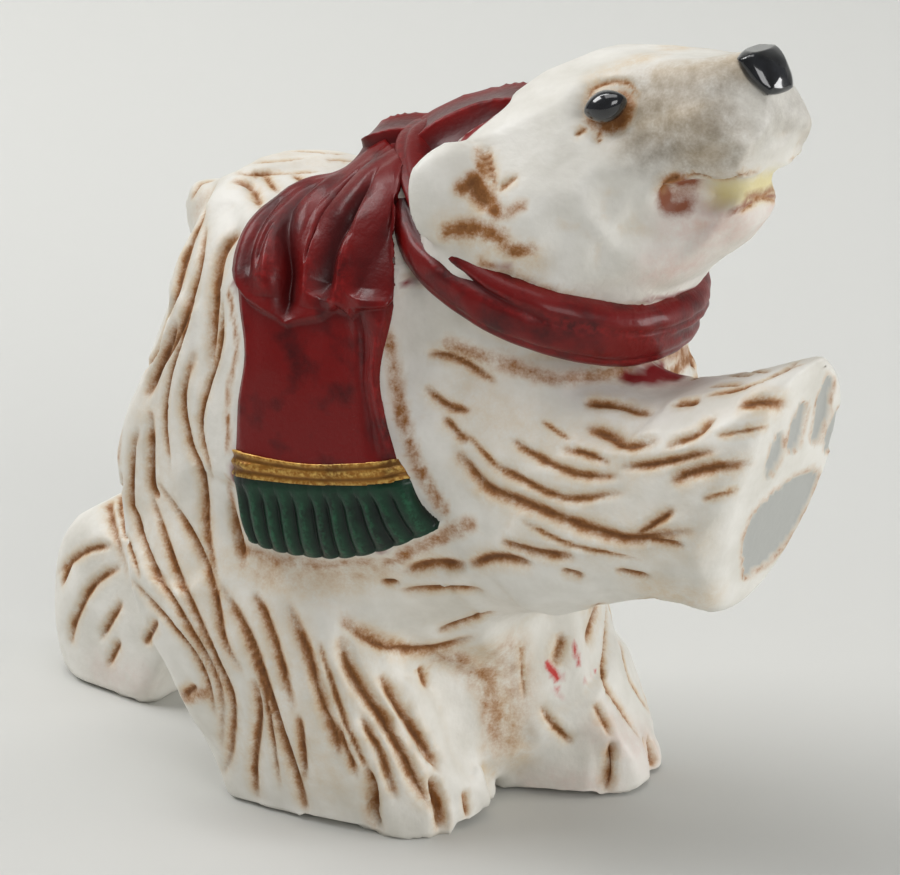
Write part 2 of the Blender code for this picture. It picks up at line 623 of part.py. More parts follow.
def tree_of(obj):
    whole = bmesh.new()
    whole.from_mesh(obj.data)
    tree = BVHTree.FromBMesh(whole)
    whole.free()
    return tree


def mass_of(obj):
    whole = bmesh.new()
    whole.from_mesh(obj.data)
    bpy.data.objects.remove(obj, do_unlink=True)
    return whole


def reduce_faces(obj, budget):
    faces = sum(len(p.vertices) - 2 for p in obj.data.polygons)
    thin = obj.modifiers.new("thin", "DECIMATE")
    thin.ratio = budget / faces
    thin.use_collapse_triangulate = True
    return bake(obj)


def centre_on_floor(mesh):
    """The origin is the middle of the figure's outline on the floor."""
    points, _ = read_points(mesh)
    middle = (points.min(0) + points.max(0)) / 2
    write_points(mesh, points - np.array([middle[0], middle[1], points[:, 2].min()]))
    return middle


clear_scene()
figure = make_collection("bear_figurine")
masses = []
for add_mass in (add_body, add_hind_leg_right, add_fore_leg_left, add_hind_leg_left, add_raised_arm,
                 add_webs, add_head):
    add_mass(masses)
rough = fuse("rough_form", masses, FORM_VOXEL, SOFTNESS)
tree = tree_of(rough)
pare_head(rough.data, tree)
masses = [mass_of(rough)]
add_eyes_and_nose(masses)
add_scarf_turn(masses)
add_scarf_knot(masses)
add_scarf_end(masses, tree)
bear = fuse("bear", masses, CARVING_VOXEL, 1)
skin = tree_of(bear)
carve(bear.data, lay_on(skin, fur_strokes() + toe_strokes() + mouth_strokes()))
bear = reduce_faces(bear, TRIANGLE_BUDGET)
cut_at_floor(bear.data)
origin_shift = centre_on_floor(bear.data) / UNIT
bear.data.materials.clear()
bear.data.materials.append(make_material("painted_casting", FUR_COLOUR, 0.45, 0.0))
for collection in list(bear.users_collection):
    collection.objects.unlink(bear)
figure.objects.link(bear)
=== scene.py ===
# Painted cast figurine of a walking polar bear with a scarf: paint, fine cuts, light and camera.
import bpy
import bmesh
import numpy as np
from mathutils import Matrix, Vector
from mathutils.bvhtree import BVHTree
from mathutils.kdtree import KDTree


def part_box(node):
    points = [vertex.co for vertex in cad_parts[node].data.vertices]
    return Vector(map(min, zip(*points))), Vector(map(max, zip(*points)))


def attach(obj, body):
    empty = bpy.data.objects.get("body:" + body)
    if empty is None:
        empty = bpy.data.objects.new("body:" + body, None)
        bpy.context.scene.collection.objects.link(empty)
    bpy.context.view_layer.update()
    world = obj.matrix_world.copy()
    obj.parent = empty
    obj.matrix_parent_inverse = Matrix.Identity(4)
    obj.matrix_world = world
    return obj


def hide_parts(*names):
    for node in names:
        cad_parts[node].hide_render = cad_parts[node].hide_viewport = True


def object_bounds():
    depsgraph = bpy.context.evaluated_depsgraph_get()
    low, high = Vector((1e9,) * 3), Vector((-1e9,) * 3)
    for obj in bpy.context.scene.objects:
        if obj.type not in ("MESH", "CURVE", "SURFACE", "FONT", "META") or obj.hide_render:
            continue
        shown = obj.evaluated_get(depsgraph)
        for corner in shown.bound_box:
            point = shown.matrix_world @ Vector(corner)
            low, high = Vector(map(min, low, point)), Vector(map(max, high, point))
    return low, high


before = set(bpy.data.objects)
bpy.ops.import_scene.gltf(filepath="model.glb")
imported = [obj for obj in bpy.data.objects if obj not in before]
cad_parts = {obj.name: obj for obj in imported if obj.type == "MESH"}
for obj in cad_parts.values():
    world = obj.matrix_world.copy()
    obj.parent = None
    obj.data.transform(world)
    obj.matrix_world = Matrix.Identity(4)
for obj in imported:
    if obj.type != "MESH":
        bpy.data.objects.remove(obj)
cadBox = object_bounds()
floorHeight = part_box("bear")[0][2]
mm = 0.001

# The pose is written from the bear's own middle; the frame's origin is the middle of its outline.
pose = dict(shift=np.array([9.338, -2.474, 0.0]), headBase=np.array([5.0, -2.5, 100.0]),
            headYaw=-10.0, headPitch=27.0)

# The camera that saw the figure: degrees, millimetres, and the focal length in pixels of a 900 x 875 picture.
view = dict(azimuth=27.0, elevation=18.0, distance=750.0, focal=4300.0, width=900, height=875,
            aim=np.array([0.0, 0.0, 66.0]))


def hexLinear(code):
    # sRGB hex to linear light: the usual two-part curve
    srgb = np.array([int(code[i:i + 2], 16) / 255.0 for i in (1, 3, 5)])
    linear = np.where(srgb <= 0.04045, srgb / 12.92, ((srgb + 0.055) / 1.055) ** 2.4)
    return (*linear, 1.0)


def toRow(points):
    # from the pose's millimetres to the frame's metres
    return (np.asarray(points, float) + pose["shift"]) * mm


def headAxes():
    # along the muzzle, to the bear's right, and up out of the crown: a yaw, then a pitch
    yaw, pitch = np.radians([pose["headYaw"], pose["headPitch"]])
    along = np.array([np.cos(pitch) * np.cos(yaw), np.cos(pitch) * np.sin(yaw), np.sin(pitch)])
    right = np.array([np.sin(yaw), -np.cos(yaw), 0.0])
    return along, right, np.cross(right, along)


headLong, headRight, headUp = headAxes()


def inHead(along, right, up):
    # a place given in the head's own axes, in the pose's millimetres
    return pose["headBase"] + headLong * along + headRight * right + headUp * up


def cameraAxes():
    # the picture's right and up, and the way back to the camera
    az, el = np.radians([view["azimuth"], view["elevation"]])
    right = np.array([np.cos(az), np.sin(az), 0.0])
    back = np.array([np.sin(az) * np.cos(el), -np.cos(az) * np.cos(el), np.sin(el)])
    return right, np.cross(back, right), back


camRight, camUp, camBack = cameraAxes()
camPlace = toRow(view["aim"] + camBack * view["distance"])


def pixelRays(pixels):
    # directions from the camera through pixels of the picture
    p = np.asarray(pixels, float)
    rays = (-camBack * view["focal"] + (p[:, :1] - view["width"] / 2) * camRight
            + (view["height"] / 2 - p[:, 1:]) * camUp)
    return rays / np.linalg.norm(rays, axis=1, keepdims=True)


def pixelsOf(points):
    # where points of the frame, in metres, fall in the picture
    rel = points - camPlace
    depth = -(rel @ camBack)
    return np.stack([view["width"] / 2 + view["focal"] * (rel @ camRight) / depth,
                     view["height"] / 2 - view["focal"] * (rel @ camUp) / depth], axis=1)


def curveThrough(points, count):
    # Catmull-Rom curve: each stretch is a cubic through its own two points, bent by their neighbours
    rows = np.array(points, float)
    padded = np.vstack([2 * rows[0] - rows[1], rows, 2 * rows[-1] - rows[-2]])
    place = np.linspace(0.0, len(rows) - 1.0001, count)
    i = place.astype(int)
    t = (place - i)[:, None]
    a, b, c, d = padded[i], padded[i + 1], padded[i + 2], padded[i + 3]
    return 0.5 * (2 * b + (c - a) * t + (2 * a - 5 * b + 4 * c - d) * t ** 2
                  + (3 * b - a - 3 * c + d) * t ** 3)


def readPoints(mesh):
    # the mesh's places and normals, as rows of x, y, z
    points = np.empty(len(mesh.vertices) * 3)
    normals = np.empty(len(mesh.vertices) * 3)
    mesh.vertices.foreach_get("co", points)
    mesh.vertices.foreach_get("normal", normals)
    return points.reshape(-1, 3), normals.reshape(-1, 3)


def writePoints(mesh, points):
    # nothing stands out of the solid's own box
    low, high = [np.array(corner) for corner in cadBox]
    mesh.vertices.foreach_set("co", np.clip(points, low + 0.02 * mm * (low < 0), high - 0.02 * mm).ravel())
    mesh.update()


def newObject(name, mesh, material):
    # a piece of the figure, riding on its one body
    obj = bpy.data.objects.new(name, mesh)
    bpy.context.scene.collection.objects.link(obj)
    mesh.materials.clear()
    mesh.materials.append(material)
    mesh.shade_smooth()
    writePoints(mesh, readPoints(mesh)[0])
    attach(obj, "root")
    return obj


def bakeModifiers(obj):
    # the modifiers' result becomes the mesh
    graph = bpy.context.evaluated_depsgraph_get()
    graph.update()
    mesh = bpy.data.meshes.new_from_object(obj.evaluated_get(graph))
    obj.modifiers.clear()
    obj.data = mesh


def setAttribute(mesh, name, values):
    # one number a point, which the materials read as a mask
    layer = mesh.attributes.new(name, "FLOAT", "POINT")
    layer.data.foreach_set("value", np.ascontiguousarray(values, dtype=np.float32))


def gridMesh(name, sheet, closeAcross=False, closeAlong=False, outward=None, masks=None):
    # sheet: (rows, columns, 3) points; a tube closes across and gets caps, a ring closes both ways
    rows, columns, _ = sheet.shape
    index = np.arange(rows * columns).reshape(rows, columns)
    right, below = np.roll(index, -1, axis=1), np.roll(index, -1, axis=0)
    quads = np.stack([index, right, np.roll(right, -1, axis=0), below], axis=-1)
    quads = quads[:None if closeAlong else -1, :None if closeAcross else -1].reshape(-1, 4)
    if outward is not None:      # an open sheet faces the way it is told
        a, b, c = [sheet.reshape(-1, 3)[quads[:, i]] for i in (0, 1, 3)]
        if np.sum(np.cross(b - a, c - a) * outward.reshape(-1, 3)[quads[:, 0]]) < 0:
            quads = quads[:, ::-1]
    faces = quads.tolist()
    if closeAcross and not closeAlong:
        faces += [index[0][::-1].tolist(), index[-1].tolist()]
    mesh = bpy.data.meshes.new(name)
    mesh.from_pydata(sheet.reshape(-1, 3), [], faces)
    for key, values in (masks or {}).items():
        setAttribute(mesh, key, values.ravel())
    clean = bmesh.new()
    clean.from_mesh(mesh)
    bmesh.ops.remove_doubles(clean, verts=clean.verts, dist=1e-6)
    if outward is None:
        bmesh.ops.recalc_face_normals(clean, faces=clean.faces)
    clean.to_mesh(mesh)
    clean.free()
    mesh.update()
    return mesh


def addNode(tree, kind, settings=None, links=None):
    # one node with its settings; links maps an input to another node's output
    node = tree.nodes.new(kind)
    for key, value in (settings or {}).items():
        if isinstance(key, str) and hasattr(node, key) and key not in node.inputs:
            setattr(node, key, value)
        else:
            node.inputs[key].default_value = value
    for key, output in (links or {}).items():
        tree.links.new(output, node.inputs[key])
    return node


def newMaterial(name):
    # the material, its node tree and its shader
    material = bpy.data.materials.new(name)
    material.use_nodes = True
    tree = material.node_tree
    return material, tree, tree.nodes["Principled BSDF"]


def ramp(tree, source, stops):
    # colours blended between stops of (place, colour)
    node = addNode(tree, "ShaderNodeValToRGB", None, {"Fac": source})
    points = node.color_ramp.elements
    points[0].position, points[0].color = stops[0]
    points[1].position, points[1].color = stops[-1]
    for place, colour in stops[1:-1]:
        points.new(place).color = colour
    return node.outputs["Color"]


def mixColour(tree, share, first, second):
    # the first colour where the share is 0, the second where it is 1
    node = addNode(tree, "ShaderNodeMix", {"data_type": "RGBA"})
    for key, value in (("Factor", share), ("A", first), ("B", second)):
        socket = next(s for s in node.inputs if s.name == key and s.enabled)
        if isinstance(value, (tuple, float)):
            socket.default_value = value
        else:
            tree.links.new(value, socket)
    return next(s for s in node.outputs if s.enabled)


def mathNode(tree, operation, first, second=0.0, clamp=False):
    # one sum or product of sockets and numbers
    node = addNode(tree, "ShaderNodeMath", {"operation": operation, "use_clamp": clamp})
    for i, value in enumerate((first, second)):
        if isinstance(value, (int, float)):
            node.inputs[i].default_value = value
        else:
            tree.links.new(value, node.inputs[i])
    return node.outputs[0]


def objectPlace(tree):
    # where a point lies in the object, so that noise stays with the figure
    return addNode(tree, "ShaderNodeTexCoord").outputs["Object"]


def noiseNode(tree, where, size, detail, rough=0.5):
    # blotches of about the given width in millimetres
    settings = {"Scale": 1.0 / (size * mm), "Detail": detail, "Roughness": rough}
    return addNode(tree, "ShaderNodeTexNoise", settings, {"Vector": where}).outputs["Fac"]


def maskNode(tree, name):
    # the mask that setAttribute stored on the points
    return addNode(tree, "ShaderNodeAttribute", {"attribute_name": name}).outputs["Fac"]


def rangeNode(tree, value, ends):
    # the value stretched between the given ends, which are 0 and 1 unless told
    return addNode(tree, "ShaderNodeMapRange", ends, {"Value": value}).outputs["Result"]


def bumpNode(tree, height, strength, distance, under=None):
    # the normal leans with the height's slope, on top of the bump under it
    links = {"Height": height} if under is None else {"Height": height, "Normal": under}
    node = addNode(tree, "ShaderNodeBump", {"Strength": strength, "Distance": distance}, links)
    return node.outputs["Normal"]


# Cream acrylic brushed over cast resin, with a brown stain wiped back so that it stays in the knife cuts.
# The same browns are also laid on as painted shade under and beside the scarf, about the ears, in creases and
# in recesses.
furPaint = dict(
    cream="#F3F0E8", shade="#DEDACF", stainThin="#DFC398", stainMid="#B37A40", stainThick="#84501F",
    deep="#54300F", hazeAndShade="#DCC197", muzzle="#8C8376", pad="#B9BAB5", pink="#DFB2A6", yellow="#E8DA9E",
    redMark="#CF3B36", lip="#98583C", underRed="#8A1519", roughness=0.45, coat=0.1,
    mottle=10.0, speck=0.45, brush=0.9,
    # each thin colour: how strong it is, and how far the paint's tooth and its blotches break it up
    tints={"hazeAndShade": (0.6, 0.35, 0.6), "muzzle": (0.8, 0.2, 0.4), "pink": (0.5, 0.2, 0.5),
           "yellow": (0.9, 0.15, 0.2), "lip": (0.95, 0.3, 0.3), "pad": (1.0, 0.0, 0.05)})


def furMaterial():
    # creams, then thin tints, then the stain and painted shade by their strength, each broken up by noise
    material, tree, shader = newMaterial("creamAcrylicOnResin")
    where = objectPlace(tree)

    def paint(name):
        return hexLinear(furPaint[name])

    mottle = noiseNode(tree, where, furPaint["mottle"], 4.0, 0.55)
    colour = ramp(tree, mottle, [(0.38, paint("cream")), (0.72, paint("shade"))])
    speck = noiseNode(tree, where, furPaint["speck"], 3.0, 0.7)
    patch = noiseNode(tree, where, 2.6, 3.0, 0.55)

    def broken(level, tooth, blotch):
        # level + (speckle and blotches about zero), which fades out where the level is nothing
        fine = mathNode(tree, "MULTIPLY", mathNode(tree, "SUBTRACT", speck, 0.5), tooth * 2.0)
        wide = mathNode(tree, "MULTIPLY", mathNode(tree, "SUBTRACT", patch, 0.5), blotch * 2.0)
        wobble = mathNode(tree, "ADD", fine, wide)
        live = mathNode(tree, "MULTIPLY", wobble, mathNode(tree, "MULTIPLY", level, 2.5, True))
        return mathNode(tree, "ADD", level, live, True)

    for name, (gain, tooth, blotch) in furPaint["tints"].items():
        level = mathNode(tree, "MULTIPLY", maskNode(tree, name), gain)
        colour = mixColour(tree, broken(level, tooth, blotch), colour, paint(name))
    # this mask holds the stain in the cuts and the painted shade in creases, recesses and under the scarf
    stainAndShade = broken(mathNode(tree, "MULTIPLY", maskNode(tree, "stainAndShade"), 0.9), 0.28, 0.55)
    tones = [(0.0, paint("stainThin")), (0.5, paint("stainMid")), (0.98, paint("stainThick"))]
    cover = rangeNode(tree, stainAndShade, {"From Min": 0.02, "From Max": 0.75})
    colour = mixColour(tree, cover, colour, ramp(tree, stainAndShade, tones))
    colour = mixColour(tree, mathNode(tree, "MULTIPLY", maskNode(tree, "deep"), 0.5), colour, paint("deep"))
    colour = mixColour(tree, broken(maskNode(tree, "redMark"), 0.5, 0.4), colour, paint("redMark"))
    colour = mixColour(tree, maskNode(tree, "underRed"), colour, paint("underRed"))
    tree.links.new(colour, shader.inputs["Base Color"])
    level = furPaint["roughness"]
    rough = rangeNode(tree, mottle, {"To Min": level - 0.05, "To Max": level + 0.15})
    rough = mathNode(tree, "ADD", rough, mathNode(tree, "MULTIPLY", stainAndShade, 0.2))
    tree.links.new(rough, shader.inputs["Roughness"])
    shader.inputs["Coat Weight"].default_value = furPaint["coat"]
    shader.inputs["Coat Roughness"].default_value = 0.3
    brushed = bumpNode(tree, noiseNode(tree, where, furPaint["brush"], 5.0, 0.6), 0.35, 0.2 * mm)
    broad = bumpNode(tree, noiseNode(tree, where, 4.0, 2.0, 0.55), 0.4, 0.6 * mm, brushed)
    tree.links.new(broad, shader.inputs["Normal"])
    return material


# Flat brushed acrylics with a little satin varnish: red cloth, gold braid, green fringe.
# Each has a base, a dark for blotches and for painted shade in the valleys, and a lift for dry-brushed wear
# and painted highlight on the ridges.
clothPaint = {
    "crimsonAcrylic": dict(base="#740E0D", dark="#48090A", lift="#B4201F",
                           metal=0.0, rough=0.36, coat=0.2, brush=1.1),
    "goldAcrylic": dict(base="#A06C2A", dark="#633F18", lift="#EBC46C",
                        metal=0.5, rough=0.34, coat=0.1, brush=0.8),
    "pineAcrylic": dict(base="#103A26", dark="#05150D", lift="#2F7450",
                        metal=0.0, rough=0.32, coat=0.2, brush=0.9),
}


def clothMaterial(name):
    # base blotched with dark; lighter paint on the ridges where the streaks let it, which is dry-brushed wear
    # and painted highlight; painted shade in the valleys
    look = clothPaint[name]
    material, tree, shader = newMaterial(name)
    where = objectPlace(tree)
    blotch = noiseNode(tree, where, 6.0, 4.0)
    streak = noiseNode(tree, where, look["brush"], 5.0, 0.6)
    colour = ramp(tree, blotch, [(0.3, hexLinear(look["dark"])), (0.5, hexLinear(look["base"]))])
    patchy = ramp(tree, streak, [(0.42, (0, 0, 0, 1)), (0.66, (1, 1, 1, 1))])
    wearAndHighlight = mathNode(tree, "MULTIPLY", maskNode(tree, "ridge"), patchy)
    colour = mixColour(tree, wearAndHighlight, colour, hexLinear(look["lift"]))
    # painted shade in the valleys of the folds
    colour = mixColour(tree, maskNode(tree, "shadedValley"), colour, hexLinear(look["dark"]))
    tree.links.new(colour, shader.inputs["Base Color"])
    shader.inputs["Metallic"].default_value = look["metal"]
    rough = rangeNode(tree, streak, {"To Min": look["rough"] - 0.08, "To Max": look["rough"] + 0.18})
    tree.links.new(rough, shader.inputs["Roughness"])
    shader.inputs["Specular IOR Level"].default_value = 0.25
    shader.inputs["Coat Weight"].default_value = look["coat"]
    shader.inputs["Coat Roughness"].default_value = 0.16
    tree.links.new(bumpNode(tree, streak, 0.5, 0.25 * mm), shader.inputs["Normal"])
    return material


def glossBlack():
    # black enamel dots for eyes and nose: a wet-looking coat over near black
    material, tree, shader = newMaterial("glossBlackEnamel")
    cloud = noiseNode(tree, objectPlace(tree), 2.5, 3.0)
    colour = ramp(tree, cloud, [(0.35, hexLinear("#0A0A0C")), (0.8, hexLinear("#23252A"))])
    tree.links.new(colour, shader.inputs["Base Color"])
    shader.inputs["Roughness"].default_value = 0.16
    shader.inputs["Coat Weight"].default_value = 1.0
    shader.inputs["Coat Roughness"].default_value = 0.05
    tree.links.new(bumpNode(tree, cloud, 0.25, 0.15 * mm), shader.inputs["Normal"])
    return material


# Knife cuts seen in the picture, as pixels that a cut runs through. Each family has a half width and a depth
# in mm; a line that starts with two numbers has its own share of them.
seenCuts = {
    "chest": dict(width=1.25, depth=0.95, lines=[
        [(426, 353), (456, 359), (497, 383)], [(423, 386), (445, 404), (471, 412)],
        [(443, 417), (467, 444)], [(486, 461), (512, 474), (543, 491), (575, 499), (625, 492)],
        [1.5, 1.5, (455, 450), (467, 465), (488, 489), (532, 507), (575, 524), (625, 539), (657, 537),
         (697, 530)], [(634, 537), (675, 509)], [(640, 539), (686, 547)],
        [(510, 438), (532, 454), (575, 474), (621, 477)], [(562, 448), (586, 454), (610, 464)],
        [1.3, 1.2, (584, 426), (608, 435), (629, 445), (658, 440)],
        [1.2, 1.0, (582, 403), (614, 404), (653, 415)], [(618, 468), (662, 463), (716, 450)],
        [1.4, 1.2, (670, 482), (697, 471), (754, 463)], [(666, 447), (697, 433), (714, 416)],
        [(672, 403), (700, 401)], [1.2, 1.2, (499, 542), (532, 552), (575, 558)],
        [1.4, 1.3, (403, 573), (432, 565), (467, 565)], [1.3, 1.2, (467, 566), (497, 558), (534, 565)],
        [(399, 591), (445, 589), (482, 590)], [(380, 583), (399, 583)], [(560, 571), (584, 577)],
        [(614, 571), (651, 578)], [(436, 632), (495, 612)], [(638, 599), (658, 600)],
        [0.7, 0.6, (462, 430), (500, 470), (520, 480)], [0.6, 0.5, (540, 420), (570, 440)],
        [0.7, 0.6, (520, 520), (570, 545), (640, 560)], [0.6, 0.5, (700, 500), (740, 490)]]),
    "paw": dict(width=0.95, depth=0.8, lines=[
        [(704, 395), (742, 387), (779, 374), (798, 360)], [(710, 386), (742, 384)],
        [(710, 374), (752, 375)], [1.8, 1.2, (737, 404), (762, 402), (788, 406)],
        [0.7, 0.7, (690, 380), (720, 370), (770, 372)], [0.7, 0.6, (715, 436), (745, 431), (770, 427)],
        [(690, 362), (730, 366)]]),
    "thigh": dict(width=1.3, depth=1.35, lines=[
        [(217, 181), (189, 244), (171, 305), (152, 357), (128, 385), (117, 433), (108, 480), (110, 515),
         (127, 575)], [(206, 220), (195, 281), (176, 335), (154, 374), (145, 400)],
        [1.3, 1.3, (176, 320), (160, 360), (145, 398)], [1.2, 1.2, (150, 411), (150, 480), (158, 500)],
        [(139, 428), (132, 448), (130, 500), (136, 520), (154, 570), (188, 629), (218, 688), (221, 750)],
        [1.2, 1.1, (241, 229), (221, 255), (213, 313), (210, 378)],
        [(195, 350), (182, 394), (189, 444), (202, 478), (207, 538), (218, 586)],
        [(156, 481), (191, 535), (212, 586), (223, 642), (242, 674)],
        [(145, 479), (160, 525), (175, 570), (194, 613), (215, 661), (231, 701), (229, 755), (218, 779)],
        [0.8, 0.8, (127, 575), (194, 656), (215, 715)],
        [1.2, 1.2, (218, 581), (250, 642), (274, 715), (298, 787), (308, 819)], [(229, 500), (245, 565)],
        [1.2, 1.1, (253, 591), (271, 634), (293, 712)],
        [1.4, 1.2, (287, 602), (309, 661), (333, 736), (338, 758)], [(333, 720), (357, 779)],
        [1.5, 1.3, (341, 634), (352, 674), (389, 728), (416, 782), (435, 808)],
        [1.2, 1.2, (379, 673), (408, 720), (440, 771)], [(361, 715), (381, 755), (397, 800)],
        [(253, 677), (258, 715), (253, 768), (258, 808)], [(298, 715), (304, 782)],
        [1.3, 0.8, (344, 624), (381, 645), (430, 650), (475, 637)], [0.8, 0.6, (419, 666), (427, 688)],
        [0.7, 0.8, (200, 262), (186, 320), (170, 372), (164, 420), (170, 470)],
        [0.7, 0.8, (222, 300), (218, 350), (200, 420), (212, 480)],
        [0.7, 0.7, (120, 470), (124, 530), (140, 580)], [0.7, 0.7, (236, 610), (262, 690), (280, 790)],
        [0.7, 0.7, (318, 640), (345, 720), (372, 780)]]),
    "back": dict(width=0.9, depth=0.7, lines=[
        [1.2, 1.2, (231, 179), (251, 187), (261, 209)], [(264, 174), (279, 193)], [(293, 174), (309, 183)],
        [(185, 174), (223, 173), (276, 173), (319, 171)], [(223, 166), (304, 158)],
        [(326, 159), (362, 161)], [0.7, 0.7, (250, 152), (300, 151), (345, 154)],
        [0.8, 0.8, (190, 200), (200, 184), (215, 180)]]),
    "rearLeg": dict(width=1.2, depth=0.9, lines=[
        [(60, 586), (72, 556)], [(57, 573), (83, 552), (112, 545)],
        [(70, 645), (75, 619), (94, 584), (122, 565)], [(99, 640), (122, 601)], [(107, 666), (120, 640)],
        [(144, 645), (157, 619)], [(179, 699), (196, 686)]]),
    "farLeg": dict(width=1.1, depth=0.8, lines=[
        [1.5, 0.9, (563, 633), (555, 667)], [1.6, 1.0, (599, 603), (586, 643)],
        [0.7, 1.1, (607, 605), (606, 631), (604, 678), (619, 706), (641, 739)],
        [(541, 706), (556, 728), (573, 744)], [(594, 703), (612, 736)],
        [0.7, 0.7, (620, 640), (630, 680), (655, 720)], [0.6, 0.6, (520, 640), (525, 700)]]),
    "toes": dict(width=1.4, depth=2.4, lines=[
        [(366, 766), (372, 790), (375, 812), (379, 838)], [(432, 776), (437, 795), (441, 815), (441, 836)],
        [0.9, 1.0, (613, 742), (610, 765), (606, 794)], [0.9, 1.0, (650, 735), (653, 752), (655, 772)],
        [0.6, 0.4, (464, 790), (470, 830)]]),
}
# Cuts on the head; the left side, which the picture hides, is the right side's mirror image.
faceCuts = dict(width=0.7, depth=0.6, lines=[
    [(575, 136), (587, 127)], [(597, 129), (599, 144)],
    [1.0, 0.7, (581, 112), (591, 91), (610, 82), (629, 84), (641, 98)],
    [2.0, 1.6, (662, 193), (670, 181), (682, 178)],
    [0.9, 1.3, (680, 177), (696, 176), (725, 180), (761, 171)], [1.4, 1.2, (481, 146), (497, 191)],
    [1.2, 1.1, (487, 146), (495, 180)], [1.2, 1.0, (498, 191), (517, 175)],
    [3.0, 1.6, (470, 178), (476, 196), (490, 208)], [0.7, 0.6, (740, 214), (775, 188)]])
# Stain wiped over the surface with no cut under it, and painted shade: half width in mm, strength, pixels.
# The painted shade lies under and beside the scarf, in the crease of arm and thigh and in the recess beside
# the near leg.
seenStainAndShade = [
    (2.0, 0.6, [(449, 345), (501, 362), (560, 378), (631, 370)]),
    (2.2, 0.7, [(655, 356), (680, 350), (697, 356)]),
    (0.9, 0.7, [(229, 292), (237, 346), (229, 389), (227, 450)]),
    (1.5, 0.75, [(389, 337), (402, 417), (419, 467), (443, 511)]),
    (1.1, 0.6, [(230, 480), (235, 535), (243, 565)]), (1.9, 0.65, [(390, 562), (428, 543), (469, 524)]),
    (4.0, 0.3, [(262, 568), (330, 576), (400, 560)]),
    (1.6, 0.5, [(241, 548), (282, 560), (325, 564), (368, 562)]),
    (1.6, 0.5, [(345, 622), (366, 634), (400, 648), (435, 653)]),
    (3.5, 0.45, [(440, 655), (462, 662), (480, 680)]), (3.0, 0.55, [(488, 668), (490, 700), (496, 735)]),
    (6.0, 0.35, [(505, 650), (515, 690), (505, 740)]),
    (1.4, 0.5, [(480, 262), (540, 290), (620, 310), (655, 316)]), (2.4, 0.35, [(371, 795), (374, 822)]),
    (2.4, 0.35, [(438, 800), (440, 824)]), (2.0, 0.3, [(610, 758), (608, 782)]),
    (1.8, 0.6, [(181, 699), (205, 693)]), (1.2, 0.6, [(775, 375), (798, 366)]),
    (1.5, 0.9, [(672, 376), (694, 352)]), (1.1, 0.5, [(128, 400), (120, 440), (117, 470)]),
    (1.1, 0.5, [(150, 415), (150, 480)]), (3.0, 0.25, [(205, 200), (198, 215)])]
# On the head: stain and painted shade about the ear and under it, laid on both sides.
faceStainAndShade = [
    (1.9, 1.0, [(463, 188), (475, 180), (484, 194), (494, 209)]), (1.3, 0.7, [(478, 152), (484, 176)]),
    (2.1, 0.95, [(449, 232), (476, 229), (498, 236)]), (1.7, 0.8, [(498, 236), (510, 249), (530, 250)]),
    (1.5, 0.6, [(484, 196), (500, 215), (520, 205)])]
# Other colours brushed on, by mask: half width in mm, strength, pixels.
faceTints = {
    "muzzle": [(7.0, 0.75, [(648, 100), (690, 88), (722, 78)]),
               (6.5, 0.8, [(650, 145), (690, 135), (722, 120)]), (5.0, 0.6, [(690, 160), (730, 155)]),
               (6.0, 0.45, [(760, 110), (795, 118)]), (4.0, 0.4, [(800, 80), (806, 120)])],
    "hazeAndShade": [(8.0, 1.0, [(640, 110), (680, 120), (700, 150)]), (4.5, 1.0, [(660, 80), (740, 62)]),
             (3.5, 0.7, [(600, 75), (650, 55)])],
    "pink": [(7.0, 0.7, [(690, 225), (730, 225)]), (5.0, 0.6, [(660, 270), (690, 262)])],
    "yellow": [(3.2, 1.0, [(725, 192), (752, 190), (768, 181)])],
    "lip": [(1.7, 1.3, [(664, 190), (668, 206), (684, 207)]), (1.6, 1.2, [(670, 184), (692, 181)]),
            (0.8, 0.9, [(734, 213), (773, 189)]), (1.5, 0.8, [(672, 196), (690, 198)])],
}
seenTints = {
    "pink": [(6.0, 0.4, [(610, 730), (650, 750)]), (4.0, 0.7, [(640, 372), (672, 380)]),
             (5.0, 0.35, [(540, 785), (600, 788)]), (5.0, 0.3, [(100, 670), (140, 680)])],
    # The tan haze is partly painted shade: under the ear, under the fringe and in the recess beside the near
    # leg.
    "hazeAndShade": [(7.0, 0.45, [(470, 400), (540, 440), (620, 460)]),
             (7.0, 0.4, [(520, 500), (600, 540), (680, 540)]),
             (8.0, 0.35, [(260, 620), (300, 720), (330, 780)]),
             (8.0, 0.35, [(150, 420), (160, 520), (200, 620)]),
             (4.0, 0.7, [(450, 230), (490, 245), (530, 262)]), (10.0, 0.3, [(200, 160), (330, 155)]),
             (5.0, 0.6, [(650, 585), (700, 600)]), (4.0, 0.6, [(480, 650), (520, 760)]),
             (5.0, 0.5, [(230, 560), (300, 585), (380, 575)])],
    "redMark": [(0.8, 1.1, [(547, 664), (558, 678)]), (0.5, 1.0, [(574, 645), (579, 664)]),
                (0.4, 0.9, [(584, 678), (595, 670)]), (0.5, 0.8, [(556, 690), (561, 694)])],
}
# Grey pads painted on the raised sole: a closed outline, and lines with a half width, in pixels.
# They lie only where the casting faces the way the sole does and stands this far forward, in metres.
sole = dict(faces=np.array([0.95, -0.1, -0.28]), agree=0.25, forward=0.062, sink=0.45, rimStain=0.55)
solePad = [(745, 577), (745, 540), (756, 514), (779, 490), (804, 474), (818, 473), (812, 494), (792, 534),
           (769, 560)]
toePads = [(5.0, [(781, 436), (775, 456), (769, 474)]), (6.0, [(804, 407), (797, 430), (792, 449)]),
           (6.0, [(830, 380), (822, 410), (815, 440)]), (5.5, [(841, 412), (834, 430), (828, 448)])]

